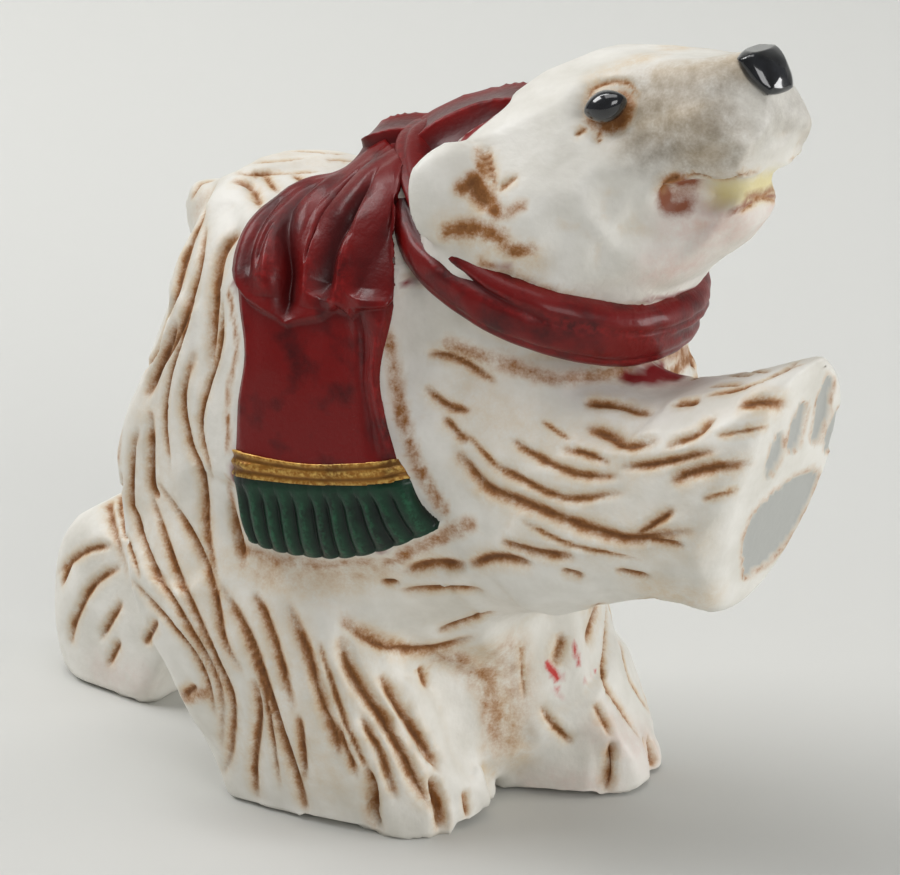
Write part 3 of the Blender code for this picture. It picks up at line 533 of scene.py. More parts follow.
# Cuts on the sides that the picture doesn't show run between two guide lines, in mm of the pose.
hiddenCuts = {
    "rump": dict(count=9, cuts=3, guides=[
        [(-53, -6, 100), (-60, -8, 80), (-62, -8, 56), (-54, -8, 34), (-36, -10, 14)],
        [(-50, 14, 100), (-57, 22, 80), (-55, 28, 60), (-56, 34, 44), (-62, 40, 30)]]),
    "leftFlank": dict(count=13, cuts=3, guides=[
        [(-45, 20, 99), (-50, 30, 75), (-46, 34, 58), (-52, 38, 42), (-60, 41, 28)],
        [(26, 26, 98), (24, 32, 80), (18, 34, 62), (14, 34, 42), (16, 36, 20)]]),
    "back": dict(count=7, cuts=2, guides=[
        [(-12, -10, 112), (-28, -12, 110), (-46, -10, 107)],
        [(-4, 24, 110), (-24, 24, 108), (-46, 16, 103)]]),
    "farLeg": dict(count=7, cuts=2, guides=[
        [(16, 2, 34), (20, 3, 18), (22, 4, 4)],
        [(22, 34, 36), (28, 34, 18), (32, 34, 4)]]),
    "rearLegOutside": dict(count=6, cuts=2, guides=[
        [(-70, 40, 34), (-62, 42, 20), (-56, 42, 6)],
        [(-97, 32, 22), (-92, 38, 12), (-84, 42, 4)]]),
    "breast": dict(count=6, cuts=2, guides=[
        [(46, 2, 88), (46, 2, 74), (40, 4, 58)],
        [(34, 28, 90), (36, 28, 74), (30, 30, 58)]]),
    "armInside": dict(count=5, cuts=2, guides=[
        [(40, 2, 88), (55, 2, 88), (68, -2, 90)],
        [(40, 2, 58), (52, 2, 54), (60, -2, 52)]]),
}
# The casting's skin, in mm: grid, rounds of smoothing, hidden cuts, knife facets, and how far it keeps
# below the scarf; under footHeight the toes keep their form, and soleFlat is pressed flat on the floor.
fineForm = dict(voxel=1.2, furRounds=16, headRounds=3, seed=11, cutWidth=1.0, cutDepth=0.8,
                headFacet=11.0, headPare=0.9, bodyFacet=12.0, bodyPare=0.65, underScarf=1.4,
                footHeight=9.0, soleFlat=0.45)


def surfaceTree(mesh):
    # finds the nearest place on a mesh, or where a ray meets it
    whole = bmesh.new()
    whole.from_mesh(mesh)
    tree = BVHTree.FromBMesh(whole)
    whole.free()
    return tree


def landPixels(tree, pixels):
    # the cut's pixels are thrown from the camera onto the casting
    line = curveThrough([(*p, 0.0) for p in pixels], 7 * len(pixels))[:, :2]
    hits = [tree.ray_cast(Vector(camPlace), Vector(ray))[0] for ray in pixelRays(line)]
    landed = [[*h] for h in hits if h is not None]
    return np.array(landed) if len(landed) > 1 else None


def mirrored(tree, line):
    # the same line on the other side of the head
    rel = line / mm - pose["shift"] - pose["headBase"]
    other = toRow(pose["headBase"] + rel - 2 * (rel @ headRight)[:, None] * headRight)
    return np.array([[*tree.find_nearest(Vector(p))[0]] for p in other])


def visibleCuts(tree):
    # every seen cut as (points on the casting, half width, depth)
    out = []
    for name, family in list(seenCuts.items()) + [("face", faceCuts)]:
        for line in family["lines"]:
            shares = [v for v in line if not isinstance(v, tuple)] or [1.0, 1.0]
            landed = landPixels(tree, [v for v in line if isinstance(v, tuple)])
            if landed is None:
                continue
            size = (family["width"] * shares[0] * mm, family["depth"] * shares[1] * mm)
            out.append((landed, *size))
            if name == "face":
                out.append((mirrored(tree, landed), *size))
    return out


def hiddenLines(tree):
    # cuts blended between two guides, each swaying, starting and ending at its own seeded place
    chance = np.random.default_rng(fineForm["seed"])
    out = []
    for family in hiddenCuts.values():
        first, second = [toRow(curveThrough(guide, 40)) for guide in family["guides"]]
        for k in range(family["count"]):
            share = (k + chance.uniform(0.1, 0.9)) / family["count"]
            sway = chance.uniform(-0.06, 0.06) * np.sin(np.linspace(0, chance.uniform(2, 6), 40))[:, None]
            line = first * (1 - share - sway) + second * (share + sway)
            edges = np.linspace(0.0, 1.0, family["cuts"] + 1) + chance.uniform(-0.12, 0.12)
            for low, high in zip(edges[:-1], edges[1:]):
                start = np.clip(low + chance.uniform(-0.3, 0.35) * (high - low), 0, 1)
                end = np.clip(high + chance.uniform(-0.35, 0.35) * (high - low), 0, 1)
                width, depth = chance.uniform(0.45, 1.4), chance.uniform(0.35, 1.3)
                found = [tree.find_nearest(Vector(p)) for p in line[int(start * 39):int(end * 39) + 1]]
                # what faces the camera has its own cuts
                kept = [[*f[0]] for f in found if np.dot(np.array(f[1]), camBack) < 0.12]
                if len(kept) > 3:
                    size = (width * fineForm["cutWidth"] * mm, depth * fineForm["cutDepth"] * mm)
                    out.append((np.array(kept), *size))
    return out


def lineDistance(points, line, reach):
    # distance to the nearest of the line's stretches, for points within reach, and how far along it lies
    near = np.all((points > line.min(0) - reach) & (points < line.max(0) + reach), axis=1)
    index = np.nonzero(near)[0]
    best = np.full(len(index), 1.0)
    where = np.zeros(len(index))
    for k, (a, b) in enumerate(zip(line[:-1], line[1:])):
        run = b - a
        share = np.clip(((points[index] - a) @ run) / max(run @ run, 1e-14), 0, 1)
        gap = np.linalg.norm(points[index] - a - share[:, None] * run, axis=1)
        closer = gap < best
        best[closer] = gap[closer]
        where[closer] = (k + share[closer]) / (len(line) - 1)
    return index, best, where


def fade(where, power=0.6):
    # a cut starts and ends in a point
    return np.clip(np.minimum(where, 1 - where) * 4.0, 0.02, 1.0) ** power


def edgeEnds(mesh):
    # the two points of every edge
    ends = np.empty(len(mesh.edges) * 2, dtype=np.int64)
    mesh.edges.foreach_get("vertices", ends)
    return ends.reshape(-1, 2).T


def neighbourMean(points, ends, count):
    # the sum of the points at the far ends of each point's edges, over their number
    a, b = ends
    total = np.stack([np.bincount(a, points[b, i], len(points)) + np.bincount(b, points[a, i], len(points))
                      for i in range(3)], axis=1)
    return total / count[:, None]


def smoothed(points, ends, weight, rounds):
    # each round moves a point half way to the mean of its neighbours, times its weight
    count = np.maximum(np.bincount(ends.ravel(), minlength=len(points)), 1)
    for _ in range(rounds):
        points = points + (neighbourMean(points, ends, count) - points) * 0.5 * weight[:, None]
    return points


def headShare(points):
    # 1 on the head and ears, 0 on the body, with a soft border behind the ears and under the throat
    rel = points / mm - pose["shift"] - pose["headBase"]
    return np.clip((rel @ headLong - 12) / 6, 0, 1) * np.clip((rel @ headUp + 20) / 5, 0, 1)


def earShare(points):
    # 1 on the thin plates of the ears, which smoothing would eat away
    rel = points / mm - pose["shift"] - pose["headBase"]
    return (np.clip((np.abs(rel @ headRight) - 23) / 2, 0, 1) * np.clip((rel @ headUp + 6) / 3, 0, 1)
            * np.clip((rel @ headLong - 11) / 3, 0, 1))


def pared(points, normals, spacing, depth, share):
    # knife facets: planes set a little below evenly strewn middles shave off all that stands above them
    chance = np.random.default_rng(fineForm["seed"])
    chosen = np.nonzero(share > 0.3)[0]
    spots = []
    for i in chance.permutation(chosen)[:4000]:
        if not spots or np.min(np.linalg.norm(points[spots] - points[i], axis=1)) > spacing * mm:
            spots.append(i)
    middles, faces = points[spots], normals[spots]
    live = np.nonzero(share > 0.01)[0]
    cut = np.zeros(len(points))
    for start in range(0, len(live), 20000):
        part = live[start:start + 20000]
        rel = points[part, None] - middles[None]
        gap = np.linalg.norm(rel, axis=2) / (spacing * mm)
        above = np.sum(rel * faces[None], axis=2) + depth * mm
        agree = np.clip((normals[part] @ faces.T - 0.5) / 0.25, 0, 1)
        shaved = np.max(above * np.clip((1.5 - gap) * 2.5, 0, 1) * agree, axis=1)
        cut[part] = np.clip(shaved, 0, depth * 2.2 * mm)
    return points - normals * (cut * share)[:, None]


def refine(mesh, cuts, points):
    # the grid is halved along the cuts, where the stain and the knife need it
    near = np.zeros(len(points), dtype=bool)
    for line, width, _ in cuts:
        index, gap, _ = lineDistance(points, line, width + 0.9 * mm)
        near[index[gap < width + 0.7 * mm]] = True
    whole = bmesh.new()
    whole.from_mesh(mesh)
    whole.verts.ensure_lookup_table()
    edges = [e for e in whole.edges if near[e.verts[0].index] and near[e.verts[1].index]]
    bmesh.ops.subdivide_edges(whole, edges=edges, cuts=1, use_grid_fill=True)
    whole.to_mesh(mesh)
    whole.free()
    mesh.update()


def insideShare(pixels, outline, soft=1.2):
    # signed distance in pixels to a closed outline, turned into 0..1 across its edge
    ring = curveThrough([(*p, 0.0) for p in outline + outline[:1]], 80)[:, :2]
    crossings = np.zeros(len(pixels), dtype=int)
    gap = np.full(len(pixels), 1e9)
    for a, b in zip(ring[:-1], ring[1:]):
        run = b - a
        share = np.clip(((pixels - a) @ run) / max(run @ run, 1e-9), 0, 1)
        gap = np.minimum(gap, np.linalg.norm(pixels - a - share[:, None] * run, axis=1))
        spans = (a[1] > pixels[:, 1]) != (b[1] > pixels[:, 1])
        slope = (b[0] - a[0]) * (pixels[:, 1] - a[1]) / (b[1] - a[1] if b[1] != a[1] else 1e-9) + a[0]
        crossings += spans & (pixels[:, 0] < slope)
    signed = np.where(crossings % 2 == 1, gap, -gap)
    return np.clip(signed / soft + 0.5, 0, 1), signed


def paintPads(points, normals, masks, cut):
    # the pads are grey and a little sunk, with a stained rim
    pixels = pixelsOf(points)
    onSole = (normals @ sole["faces"] > sole["agree"]) & (points[:, 0] > sole["forward"])
    inside, signed = insideShare(pixels, solePad)
    rim = np.clip(1 - np.abs(signed + 1.5) / 4.5, 0, 1)
    for half, line in toePads:
        ends = curveThrough([(*p, 0.0) for p in line], 20)[:, :2]
        best = np.full(len(pixels), 1e9)
        where = np.zeros(len(pixels))
        for k, spot in enumerate(ends):
            away = np.linalg.norm(pixels - spot, axis=1)
            where = np.where(away < best, k / (len(ends) - 1), where)
            best = np.minimum(best, away)
        width = half * (0.55 + 0.45 * np.sin(np.pi * where))
        inside = np.maximum(inside, np.clip((width - best) / 1.2 + 0.5, 0, 1))
        rim = np.maximum(rim, np.clip(1 - np.abs(best - width - 1.0) / 3.0, 0, 1))
    inside, rim = inside * onSole, rim * onSole
    masks["pad"] = np.maximum(masks["pad"], inside)
    masks["stainAndShade"] = np.maximum(masks["stainAndShade"] * (1 - inside), rim * sole["rimStain"] * (1 - inside))
    return np.maximum(cut, sole["sink"] * mm * inside)


def brushOn(points, tree, strokes, name, masks, both=False):
    # colour is full along the stroke and fades to nothing at 1.3 times its half width
    for reach, strength, pixels in strokes:
        line = landPixels(tree, pixels)
        if line is None:
            continue
        for one in (line, mirrored(tree, line)) if both else (line,):
            index, gap, _ = lineDistance(points, one, reach * 1.7 * mm)
            level = strength * np.clip(1.3 - gap / (reach * mm), 0, 1) ** 1.4
            masks[name][index] = np.maximum(masks[name][index], level)


def softForm(body):
    # the solid on a fine even grid, smoothed most on the body, less on head and feet, least on the ears
    fine = body.modifiers.new("fineSkin", "REMESH")
    fine.mode = "VOXEL"
    fine.voxel_size = fineForm["voxel"] * mm
    bakeModifiers(body)
    mesh = body.data
    points, _ = readPoints(mesh)
    head, ear = headShare(points), earShare(points)
    feet = np.clip(1.6 - (points[:, 2] - floorHeight) / (fineForm["footHeight"] * mm), 0, 1) * 0.8
    points = smoothed(points, edgeEnds(mesh), 1 - np.maximum(head, feet), fineForm["furRounds"])
    points = smoothed(points, edgeEnds(mesh), 1 - 0.85 * ear, fineForm["headRounds"])
    writePoints(mesh, points)
    return mesh, head, ear


def stainCuts(points, cuts, masks):
    # a cut is a V that ends in points; its stain is darkest in the middle, with a thin haze about it
    cut = np.zeros(len(points))

    def raiseTo(name, index, level):
        masks[name][index] = np.maximum(masks[name][index], level)

    for line, width, depth in cuts:
        index, gap, where = lineDistance(points, line, width * 2.2)
        if not len(index):
            continue
        taper = fade(where)
        cut[index] = np.maximum(cut[index], depth * taper * np.clip(1 - gap / width, 0, 1))
        strength = taper * min(1.0, 0.6 + depth / mm * 0.4)
        raiseTo("stainAndShade", index, strength * np.clip(1.15 - gap / width * 1.25, 0, 1))
        raiseTo("deep", index, taper * np.clip(0.75 - gap / width * 2.0, 0, 1) * min(1, depth / mm))
        raiseTo("hazeAndShade", index, 0.85 * taper * np.clip(1.4 - gap / width * 0.7, 0, 1))
    return cut


def sinkEyes(points, masks, cut):
    # each eye sits in a shallow hollow with a brown ring
    for way in (1.0, -1.0):
        middle = toRow(inHead(eye["along"], way * eye["side"], eye["up"]))
        gap = np.linalg.norm((points - middle) / (eye["ring"] * mm), axis=1)
        masks["stainAndShade"] = np.maximum(masks["stainAndShade"], np.clip(3.4 - gap * 3.1, 0, 0.95))
        masks["deep"] = np.maximum(masks["deep"], np.clip(3.0 - gap * 3.1, 0, 0.8))
        cut = np.maximum(cut, np.clip(1.3 - gap, 0, 0.6) * eye["hollow"] * mm)
    return cut


def makeCasting(cloth):
    # soft form, scarf laid on it, knife facets, cuts, then paint by masks on the points
    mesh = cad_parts["bear"].data.copy()
    merged = bmesh.new()
    merged.from_mesh(mesh)
    bmesh.ops.remove_doubles(merged, verts=merged.verts, dist=1e-6)
    merged.to_mesh(mesh)
    merged.free()
    body = newObject("bearCasting", mesh, furMaterial())
    mesh, head, ear = softForm(body)
    cloth(surfaceTree(mesh))
    points, normals = readPoints(mesh)
    points = pared(points, normals, fineForm["headFacet"], fineForm["headPare"], head * (1 - ear))
    points = pared(points, normals, fineForm["bodyFacet"], fineForm["bodyPare"], 1 - head)
    writePoints(mesh, points)
    tree = surfaceTree(mesh)
    cuts = visibleCuts(tree) + hiddenLines(tree)
    refine(mesh, cuts, points)
    points, normals = readPoints(mesh)
    writePoints(mesh, smoothed(points, edgeEnds(mesh), np.ones(len(points)), 1))
    points, normals = readPoints(mesh)
    masks = {name: np.zeros(len(points)) for name in (*furPaint["tints"], "stainAndShade", "deep", "redMark")}
    cut = stainCuts(points, cuts, masks)
    # stain and painted shade are brushed on along their strokes
    brushOn(points, tree, seenStainAndShade, "stainAndShade", masks)
    brushOn(points, tree, faceStainAndShade, "stainAndShade", masks, both=True)
    for name, strokes in seenTints.items():
        brushOn(points, tree, strokes, name, masks)
    for name, strokes in faceTints.items():
        brushOn(points, tree, strokes, name, masks, both=True)
    cut = sinkEyes(points, masks, cut)
    cut = paintPads(points, normals, masks, cut)
    moved, masks["underRed"] = pressUnderCloth(points - normals * cut[:, None])
    moved[:, 2] = np.maximum(moved[:, 2], floorHeight)
    moved[points[:, 2] < floorHeight + fineForm["soleFlat"] * mm, 2] = floorHeight
    writePoints(mesh, moved)
    # the tan haze is also laid into hollows, by how far each point lies below the mean of its neighbours
    hollow = smoothed(moved, edgeEnds(mesh), np.ones(len(moved)), 3) - moved
    hollow = np.sum(hollow * normals, axis=1) / mm
    masks["hazeAndShade"] = np.maximum(masks["hazeAndShade"], np.clip(hollow * 4.0 - 0.3, 0, 0.7))
    for name, values in masks.items():
        setAttribute(mesh, name, values)
    mesh.shade_smooth()
    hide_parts("bear")
    triangles = sum(len(face.vertices) - 2 for face in mesh.polygons)
    print("casting:", len(points), "points,", triangles, "triangles,", len(cuts), "cuts")


# Places, normals and depths of the scarf's pieces, for what lies beneath them.
clothFaces = []


def pressUnderCloth(points):
    # the casting keeps a little below the cloth laid on it; it is let go where it stands well above the cloth
    place, normal, depth = [np.concatenate(parts) for parts in zip(*clothFaces)]
    finder = KDTree(len(place))
    for i, spot in enumerate(place):
        finder.insert(spot, i)
    finder.balance()
    low, high = place.min(0) - 3 * mm, place.max(0) + 3 * mm       # nothing further out can lie beneath it
    index = np.nonzero(np.all((points > low) & (points < high), axis=1))[0]
    found = [finder.find(points[i]) for i in index]
    near = np.array([f[1] for f in found])
    rel = points[index] - place[near]
    height = np.sum(rel * normal[near], axis=1)
    aside = np.sqrt(np.maximum(np.sum(rel ** 2, axis=1) - height ** 2, 0)) / mm
    over = height / mm + depth[near] + fineForm["underScarf"]
    push = np.clip(over, 0, 6) * np.clip((1.3 - aside) / 0.6, 0, 1) * np.clip((5.4 - height / mm) / 1.6, 0, 1)
    push *= 1 - earShare(points[index])
    moved = points.copy()
    moved[index] -= normal[near] * (push * mm)[:, None]
    # what is left of the casting's own scarf beside the cloth is painted as the scarf is
    red = np.zeros(len(points))
    beside = np.clip((2.6 - aside) / 0.5, 0, 1) * (height < 4 * mm)
    red[index] = beside * np.clip((height / mm - push + 0.4) / 0.4, 0, 1)
    red *= 1 - earShare(points)
    return moved, red


# The scarf: how far the cloth stands over the casting's own scarf, where its pleats run (share across and
# share down, then half width and depth in mm), and the line that the turn round the throat follows.
scarf = dict(
    lift=0.25, sink=2.4, size=(28.0, 52.0), flutes=11,
    end=[[(-9, -6, 118), (-4, -12, 119), (1, -18, 117)],
         [(-21, -17, 112), (-10.5, -22.5, 109.5), (3, -26, 110)],
         [(-26, -26, 103), (-11, -28, 102), (4.8, -30, 102)],
         [(-24.5, -31, 96), (-9.5, -31, 96), (5, -31.5, 97)],
         [(-22, -34, 87.5), (-8.5, -34, 88.5), (4.3, -34, 87.5)],
         [(-22.8, -35, 79), (-8, -35, 79.5), (5.2, -34, 80.5)],
         [(-23, -35, 70.2), (-7.8, -35, 70.2), (7.2, -34, 73)]],
    braid=[[(-23.2, -35, 70.6), (-8, -35, 70.6), (7.4, -34, 73.2)],
           [(-23.4, -35, 66.4), (-7.5, -35, 67.4), (9.8, -34, 70.2)]],
    fringe=[[(-23.4, -34, 66.8), (-7.5, -35, 67.8), (9.4, -34, 70.6)],
            [(-22.8, -34, 60), (-6.5, -34, 60.5), (12, -34, 66)],
            [(-22, -34, 54), (-6, -34, 53.4), (14.6, -33, 61.8)]],
    pleats=[(1.5, 2.6, [(0.16, 0.12), (0.27, 0.26), (0.355, 0.36), (0.34, 0.46), (0.315, 0.56)]),
            (1.8, 2.8, [(0.80, 0.06), (0.70, 0.18), (0.64, 0.28), (0.61, 0.36), (0.57, 0.45)]),
            (1.2, 1.6, [(0.97, 0.10), (0.93, 0.22), (0.90, 0.32), (0.88, 0.40)]),
            (0.9, 1.0, [(0.83, 0.46), (0.87, 0.62), (0.90, 0.8), (0.91, 1.0)]),
            (0.8, 0.8, [(0.22, 0.14), (0.20, 0.26), (0.21, 0.40)]),
            (0.8, 0.9, [(0.52, 0.08), (0.49, 0.2), (0.46, 0.34)]),
            (1.0, 0.8, [(0.44, 0.06), (0.47, 0.16), (0.50, 0.26)]),
            (1.0, 0.6, [(0.08, 0.2), (0.13, 0.32), (0.15, 0.42)])],
    ridges=[(2.2, 1.2, [(0.24, 0.1), (0.24, 0.3), (0.25, 0.48)]),
            (2.4, 1.3, [(0.66, 0.50), (0.74, 0.36), (0.80, 0.20)]),
            (1.5, 0.7, [(0.79, 0.44), (0.85, 0.6), (0.91, 0.8), (0.95, 1.0)]),
            (2.5, 0.9, [(0.45, 0.12), (0.5, 0.3), (0.48, 0.5)]),
            (1.2, 0.5, [(0.04, 0.1), (0.06, 0.4), (0.04, 0.7), (0.05, 1.0)]),
            (0.9, 1.1, [(0.93, 0.38), (0.95, 0.6), (0.965, 0.8), (0.97, 1.0)])],
    lip=[(0.0, 0.42), (0.10, 0.50), (0.33, 0.565), (0.57, 0.53), (0.70, 0.47), (0.80, 0.51), (1.0, 0.40)],
    lipRise=1.0,
    turn=[(-4, -11, 119), (8.5, -28, 109.5), (22, -33, 103.2), (34, -30.5, 98.8), (43.5, -21, 95.4),
          (46.5, -7, 94.5), (43.5, 6, 95), (35, 18, 98.5), (22, 25, 103), (8, 23, 109), (-3, 8, 118)],
    throat=np.array([19.0, -3.5, 104.0]), bandHeight=10.5,
    # valleys along the turn: place up its face, half width, depth, how far each sways and where it starts
    turnValleys=[(0.05, 0.14, 1.9, 0.30, 0.5), (0.55, 0.10, 0.7, 0.2, 2.0), (-0.55, 0.10, 0.6, 0.15, 4.0)])


def layCloth(name, tree, rows, across, down, relief, material):
    # the cloth's face is the casting's nearest point plus relief(u, v) along the normal; its rim turns in
    rails = [curveThrough([row[i] for row in rows], down) for i in range(3)]
    grid = toRow(np.stack([curveThrough([rail[j] for rail in rails], across) for j in range(down)]))
    found = [tree.find_nearest(Vector(p)) for p in grid.reshape(-1, 3)]
    place = np.array([[*f[0]] for f in found]).reshape(down, across, 3)
    normal = np.array([[*f[1]] for f in found]).reshape(down, across, 3)
    for _ in range(14):     # the base is evened so that what lies under the cloth doesn't show
        for block in (place, normal):
            block[1:-1, 1:-1] = (block[1:-1, 1:-1] * 2 + block[:-2, 1:-1] + block[2:, 1:-1]
                                 + block[1:-1, :-2] + block[1:-1, 2:]) / 6
    normal /= np.linalg.norm(normal, axis=2, keepdims=True)
    v, u = np.meshgrid(np.linspace(0, 1, down), np.linspace(0, 1, across), indexing="ij")
    # each relief also gives its ridges, for dry-brushed wear and painted highlight, and its valleys, for
    # painted shade
    height, ridge, shadedValley = relief(u, v)
    face = place + normal * (height * mm)[..., None]

    def rim(a):
        return np.pad(a, ((1, 1), (1, 1)) + ((0, 0),) * (a.ndim - 2), mode="edge")

    sheet = rim(place - normal * scarf["sink"] * mm)
    sheet[1:-1, 1:-1] = face
    mesh = gridMesh(name, sheet, outward=rim(normal), masks={"ridge": rim(ridge), "shadedValley": rim(shadedValley)})
    newObject(name, mesh, material)
    lowest = height.copy()
    for axis in (0, 1):     # the deepest point within two millimetres, so that the casting clears the pleats
        for step in range(1, 13):
            lowest = np.minimum(lowest, np.minimum(np.roll(height, step, axis), np.roll(height, -step, axis)))
    place, normal, lowest = [block[::2, ::2] for block in (place, normal, lowest)]
    clothFaces.append((place.reshape(-1, 3), normal.reshape(-1, 3), -lowest.ravel()))
    print(name + ":", len(mesh.vertices), "points")


def foldsOf(u, v, family):
    # a soft V or roof along each line, its ends tapered: 1 on the line, 0 at the half width
    wide, long = scarf["size"]
    flat = np.stack([u * wide, v * long, 0 * u], axis=-1).reshape(-1, 3)
    total = np.zeros(len(flat))
    for half, depth, line in family:
        path = curveThrough([(a * wide, b * long, 0) for a, b in line], 24)
        index, gap, where = lineDistance(flat * mm, path * mm, half * 2.5 * mm)
        taper = np.clip(np.minimum(where, 1 - where) * 5, 0, 1) ** 0.7
        shape = np.exp(-(np.abs(gap / mm) / half) ** 1.4) * taper
        total[index] = np.maximum(total[index], depth * shape)
    return total.reshape(u.shape)


def endRelief(u, v):
    # gathers fan out from the knot and die towards the hem; the right edge is rolled
    pleat, ridge = foldsOf(u, v, scarf["pleats"]), foldsOf(u, v, scarf["ridges"])
    waves = 0.12 * np.sin(9 * u + 5 * v) * np.sin(7 * v + 2 * u) + 0.10 * np.sin(31 * u + 13 * v) * (1 - v)
    # the gathered upper part ends in a wavy lip that stands over the flat lower part
    places = np.array(scarf["lip"])
    below = (v - np.interp(u, places[:, 0], places[:, 1])) / 0.022
    step = scarf["lipRise"] * np.clip(0.5 - below, 0, 1) * np.clip(v * 6, 0, 1)
    # a painted shadow lies on the flat part just below the lip
    shade = np.exp(-np.clip(below, 0, 9) ** 2 / 6) * (below > 0)
    height = scarf["lift"] + 0.1 + step + ridge + waves - pleat
    # the ridges get dry-brushed wear and painted highlight; painted shade fills the pleats and lies under the
    # lip
    return height, np.clip(ridge * 0.5 - 0.12, 0, 0.9), np.clip(pleat * 0.5 + 0.35 * shade, 0, 1)


def braidRelief(u, v):
    # two cords side by side, beaded along their length, with painted highlight on their tops and painted
    # shade between them
    cord = np.cos(4 * np.pi * v)
    height = scarf["lift"] + 0.5 + 0.22 * cord + 0.10 * np.sin(40 * u + 6 * v) * np.sin(17 * u)
    return height, np.clip(0.45 + 0.4 * cord, 0, 1), np.clip(-cord - 0.3, 0, 1)


def fringeRelief(u, v):
    # ribs lean outwards to the right like a skirt; the grooves between are narrower
    wave = np.abs(np.sin(np.pi * scarf["flutes"] * (u + 0.012 * np.sin(9 * u) + 0.004 * np.sin(23 * u))))
    live = np.clip((v - 0.10) / 0.25, 0.08, 1) * np.clip((1.04 - v) / 0.12, 0.35, 1)
    groove = (1 - wave ** 0.7) * live
    height = scarf["lift"] + 0.35 - 1.05 * groove + 0.3 * v - 0.35 * np.clip(0.12 - v, 0, 1) / 0.12
    # painted shade in the grooves and along the top under the braid; painted highlight on the ribs' tops
    shade = np.clip(groove * 1.1 + np.clip(0.12 - v, 0, 1) * 6, 0, 1)
    return height, np.clip(wave ** 6 * 0.55, 0, 1) * live, shade


def superCircle(angle, square):
    # cosine and sine raised to 2 / square: 2 is round, more is boxier
    cos, sin = np.cos(angle), np.sin(angle)
    return np.sign(cos) * np.abs(cos) ** (2 / square), np.sign(sin) * np.abs(sin) ** (2 / square)


def tube(centres, across, up, half, tall, square, ribs, turns=0.0, around=64, depth=0.0):
    # superellipse sections along a path, with ribs that follow it or twist round it
    angle = np.linspace(0, 2 * np.pi, around, endpoint=False)
    share = np.linspace(0, 1, len(centres))[:, None]
    wave = np.cos(ribs * angle[None] + 2 * np.pi * turns * share + 0.7 * np.sin(5 * share))
    swell = 1 + depth * (1 - 2 * np.abs(wave) ** 0.6)
    cos, sin = superCircle(angle, square)
    skin = (centres[:, None] + (cos[None] * swell * half[:, None])[..., None] * across[:, None]
            + (sin[None] * swell * tall[:, None])[..., None] * up[:, None])
    # the masks: rib tops for dry-brushed wear and painted highlight, the hollows between ribs for painted
    # shade
    return skin, np.clip((swell - 1) / max(depth, 1e-6), 0, 1), np.clip((1 - swell) / max(depth, 1e-6), 0, 1)


def makeTurn(material):
    # the band round the throat: a lower roll and a broad upper fold with a valley of painted shade between
    # them
    knots = scarf["turn"]
    closed = knots[-2:] + knots + knots[:3]
    steps = 24
    line = curveThrough(closed, (len(closed) - 1) * steps + 1)
    run = np.gradient(line, axis=0)
    line, run = line[2 * steps:-2 * steps - 1], run[2 * steps:-2 * steps - 1]
    run /= np.linalg.norm(run, axis=1, keepdims=True)
    outward = line - scarf["throat"]
    outward -= run * np.sum(outward * run, axis=1, keepdims=True)
    outward /= np.linalg.norm(outward, axis=1, keepdims=True)
    up = np.cross(run, outward)
    up *= np.sign(up[:, 2:])
    share = np.linspace(0, 1, len(line), endpoint=False)[:, None]
    angle = np.linspace(0, 2 * np.pi, 96, endpoint=False)
    cos, sin = superCircle(angle, 2.6)
    face = np.clip(cos, 0, 1)[None] ** 0.5
    shadedValley = 0.0
    for height, half, depth, sway, shift in scarf["turnValleys"]:
        middle = height + sway * np.sin(2 * np.pi * share + shift)
        live = 0.55 + 0.45 * np.sin(4 * np.pi * share + shift)
        shadedValley = shadedValley + depth * live * np.exp(-np.abs((sin[None] - middle) / half) ** 1.5) * face
    crumple = 0.12 * np.sin(40 * share * np.pi + 6 * sin[None]) * np.sin(14 * np.pi * share) * face
    tall = scarf["bandHeight"] / 2 * (1 + 0.12 * np.sin(np.pi * share) ** 2)
    middle = line - outward * 3.0
    reach = cos[None] * 4.6 + face * (0.55 + crumple) - shadedValley
    skin = middle[:, None] + reach[..., None] * outward[:, None] + (sin[None] * tall)[..., None] * up[:, None]
    # lighter paint on the valley's shoulders, dry-brushed wear and painted highlight; painted shade in the
    # valley itself
    ridge = np.clip(1 - np.abs(shadedValley - 0.35) / 0.3, 0, 1) * 0.5 * face
    mesh = gridMesh("scarfTurn", toRow(skin), closeAcross=True, closeAlong=True,
                    masks={"shadedValley": np.clip(shadedValley * 0.7, 0, 1), "ridge": ridge + 0 * shadedValley})
    newObject("scarfTurn", mesh, material)
    keep = cos > 0.5
    band = toRow(skin[:, keep]).reshape(-1, 3)
    facing = np.repeat(outward[:, None], keep.sum(), axis=1).reshape(-1, 3)
    clothFaces.append((band, facing, np.zeros(len(band))))


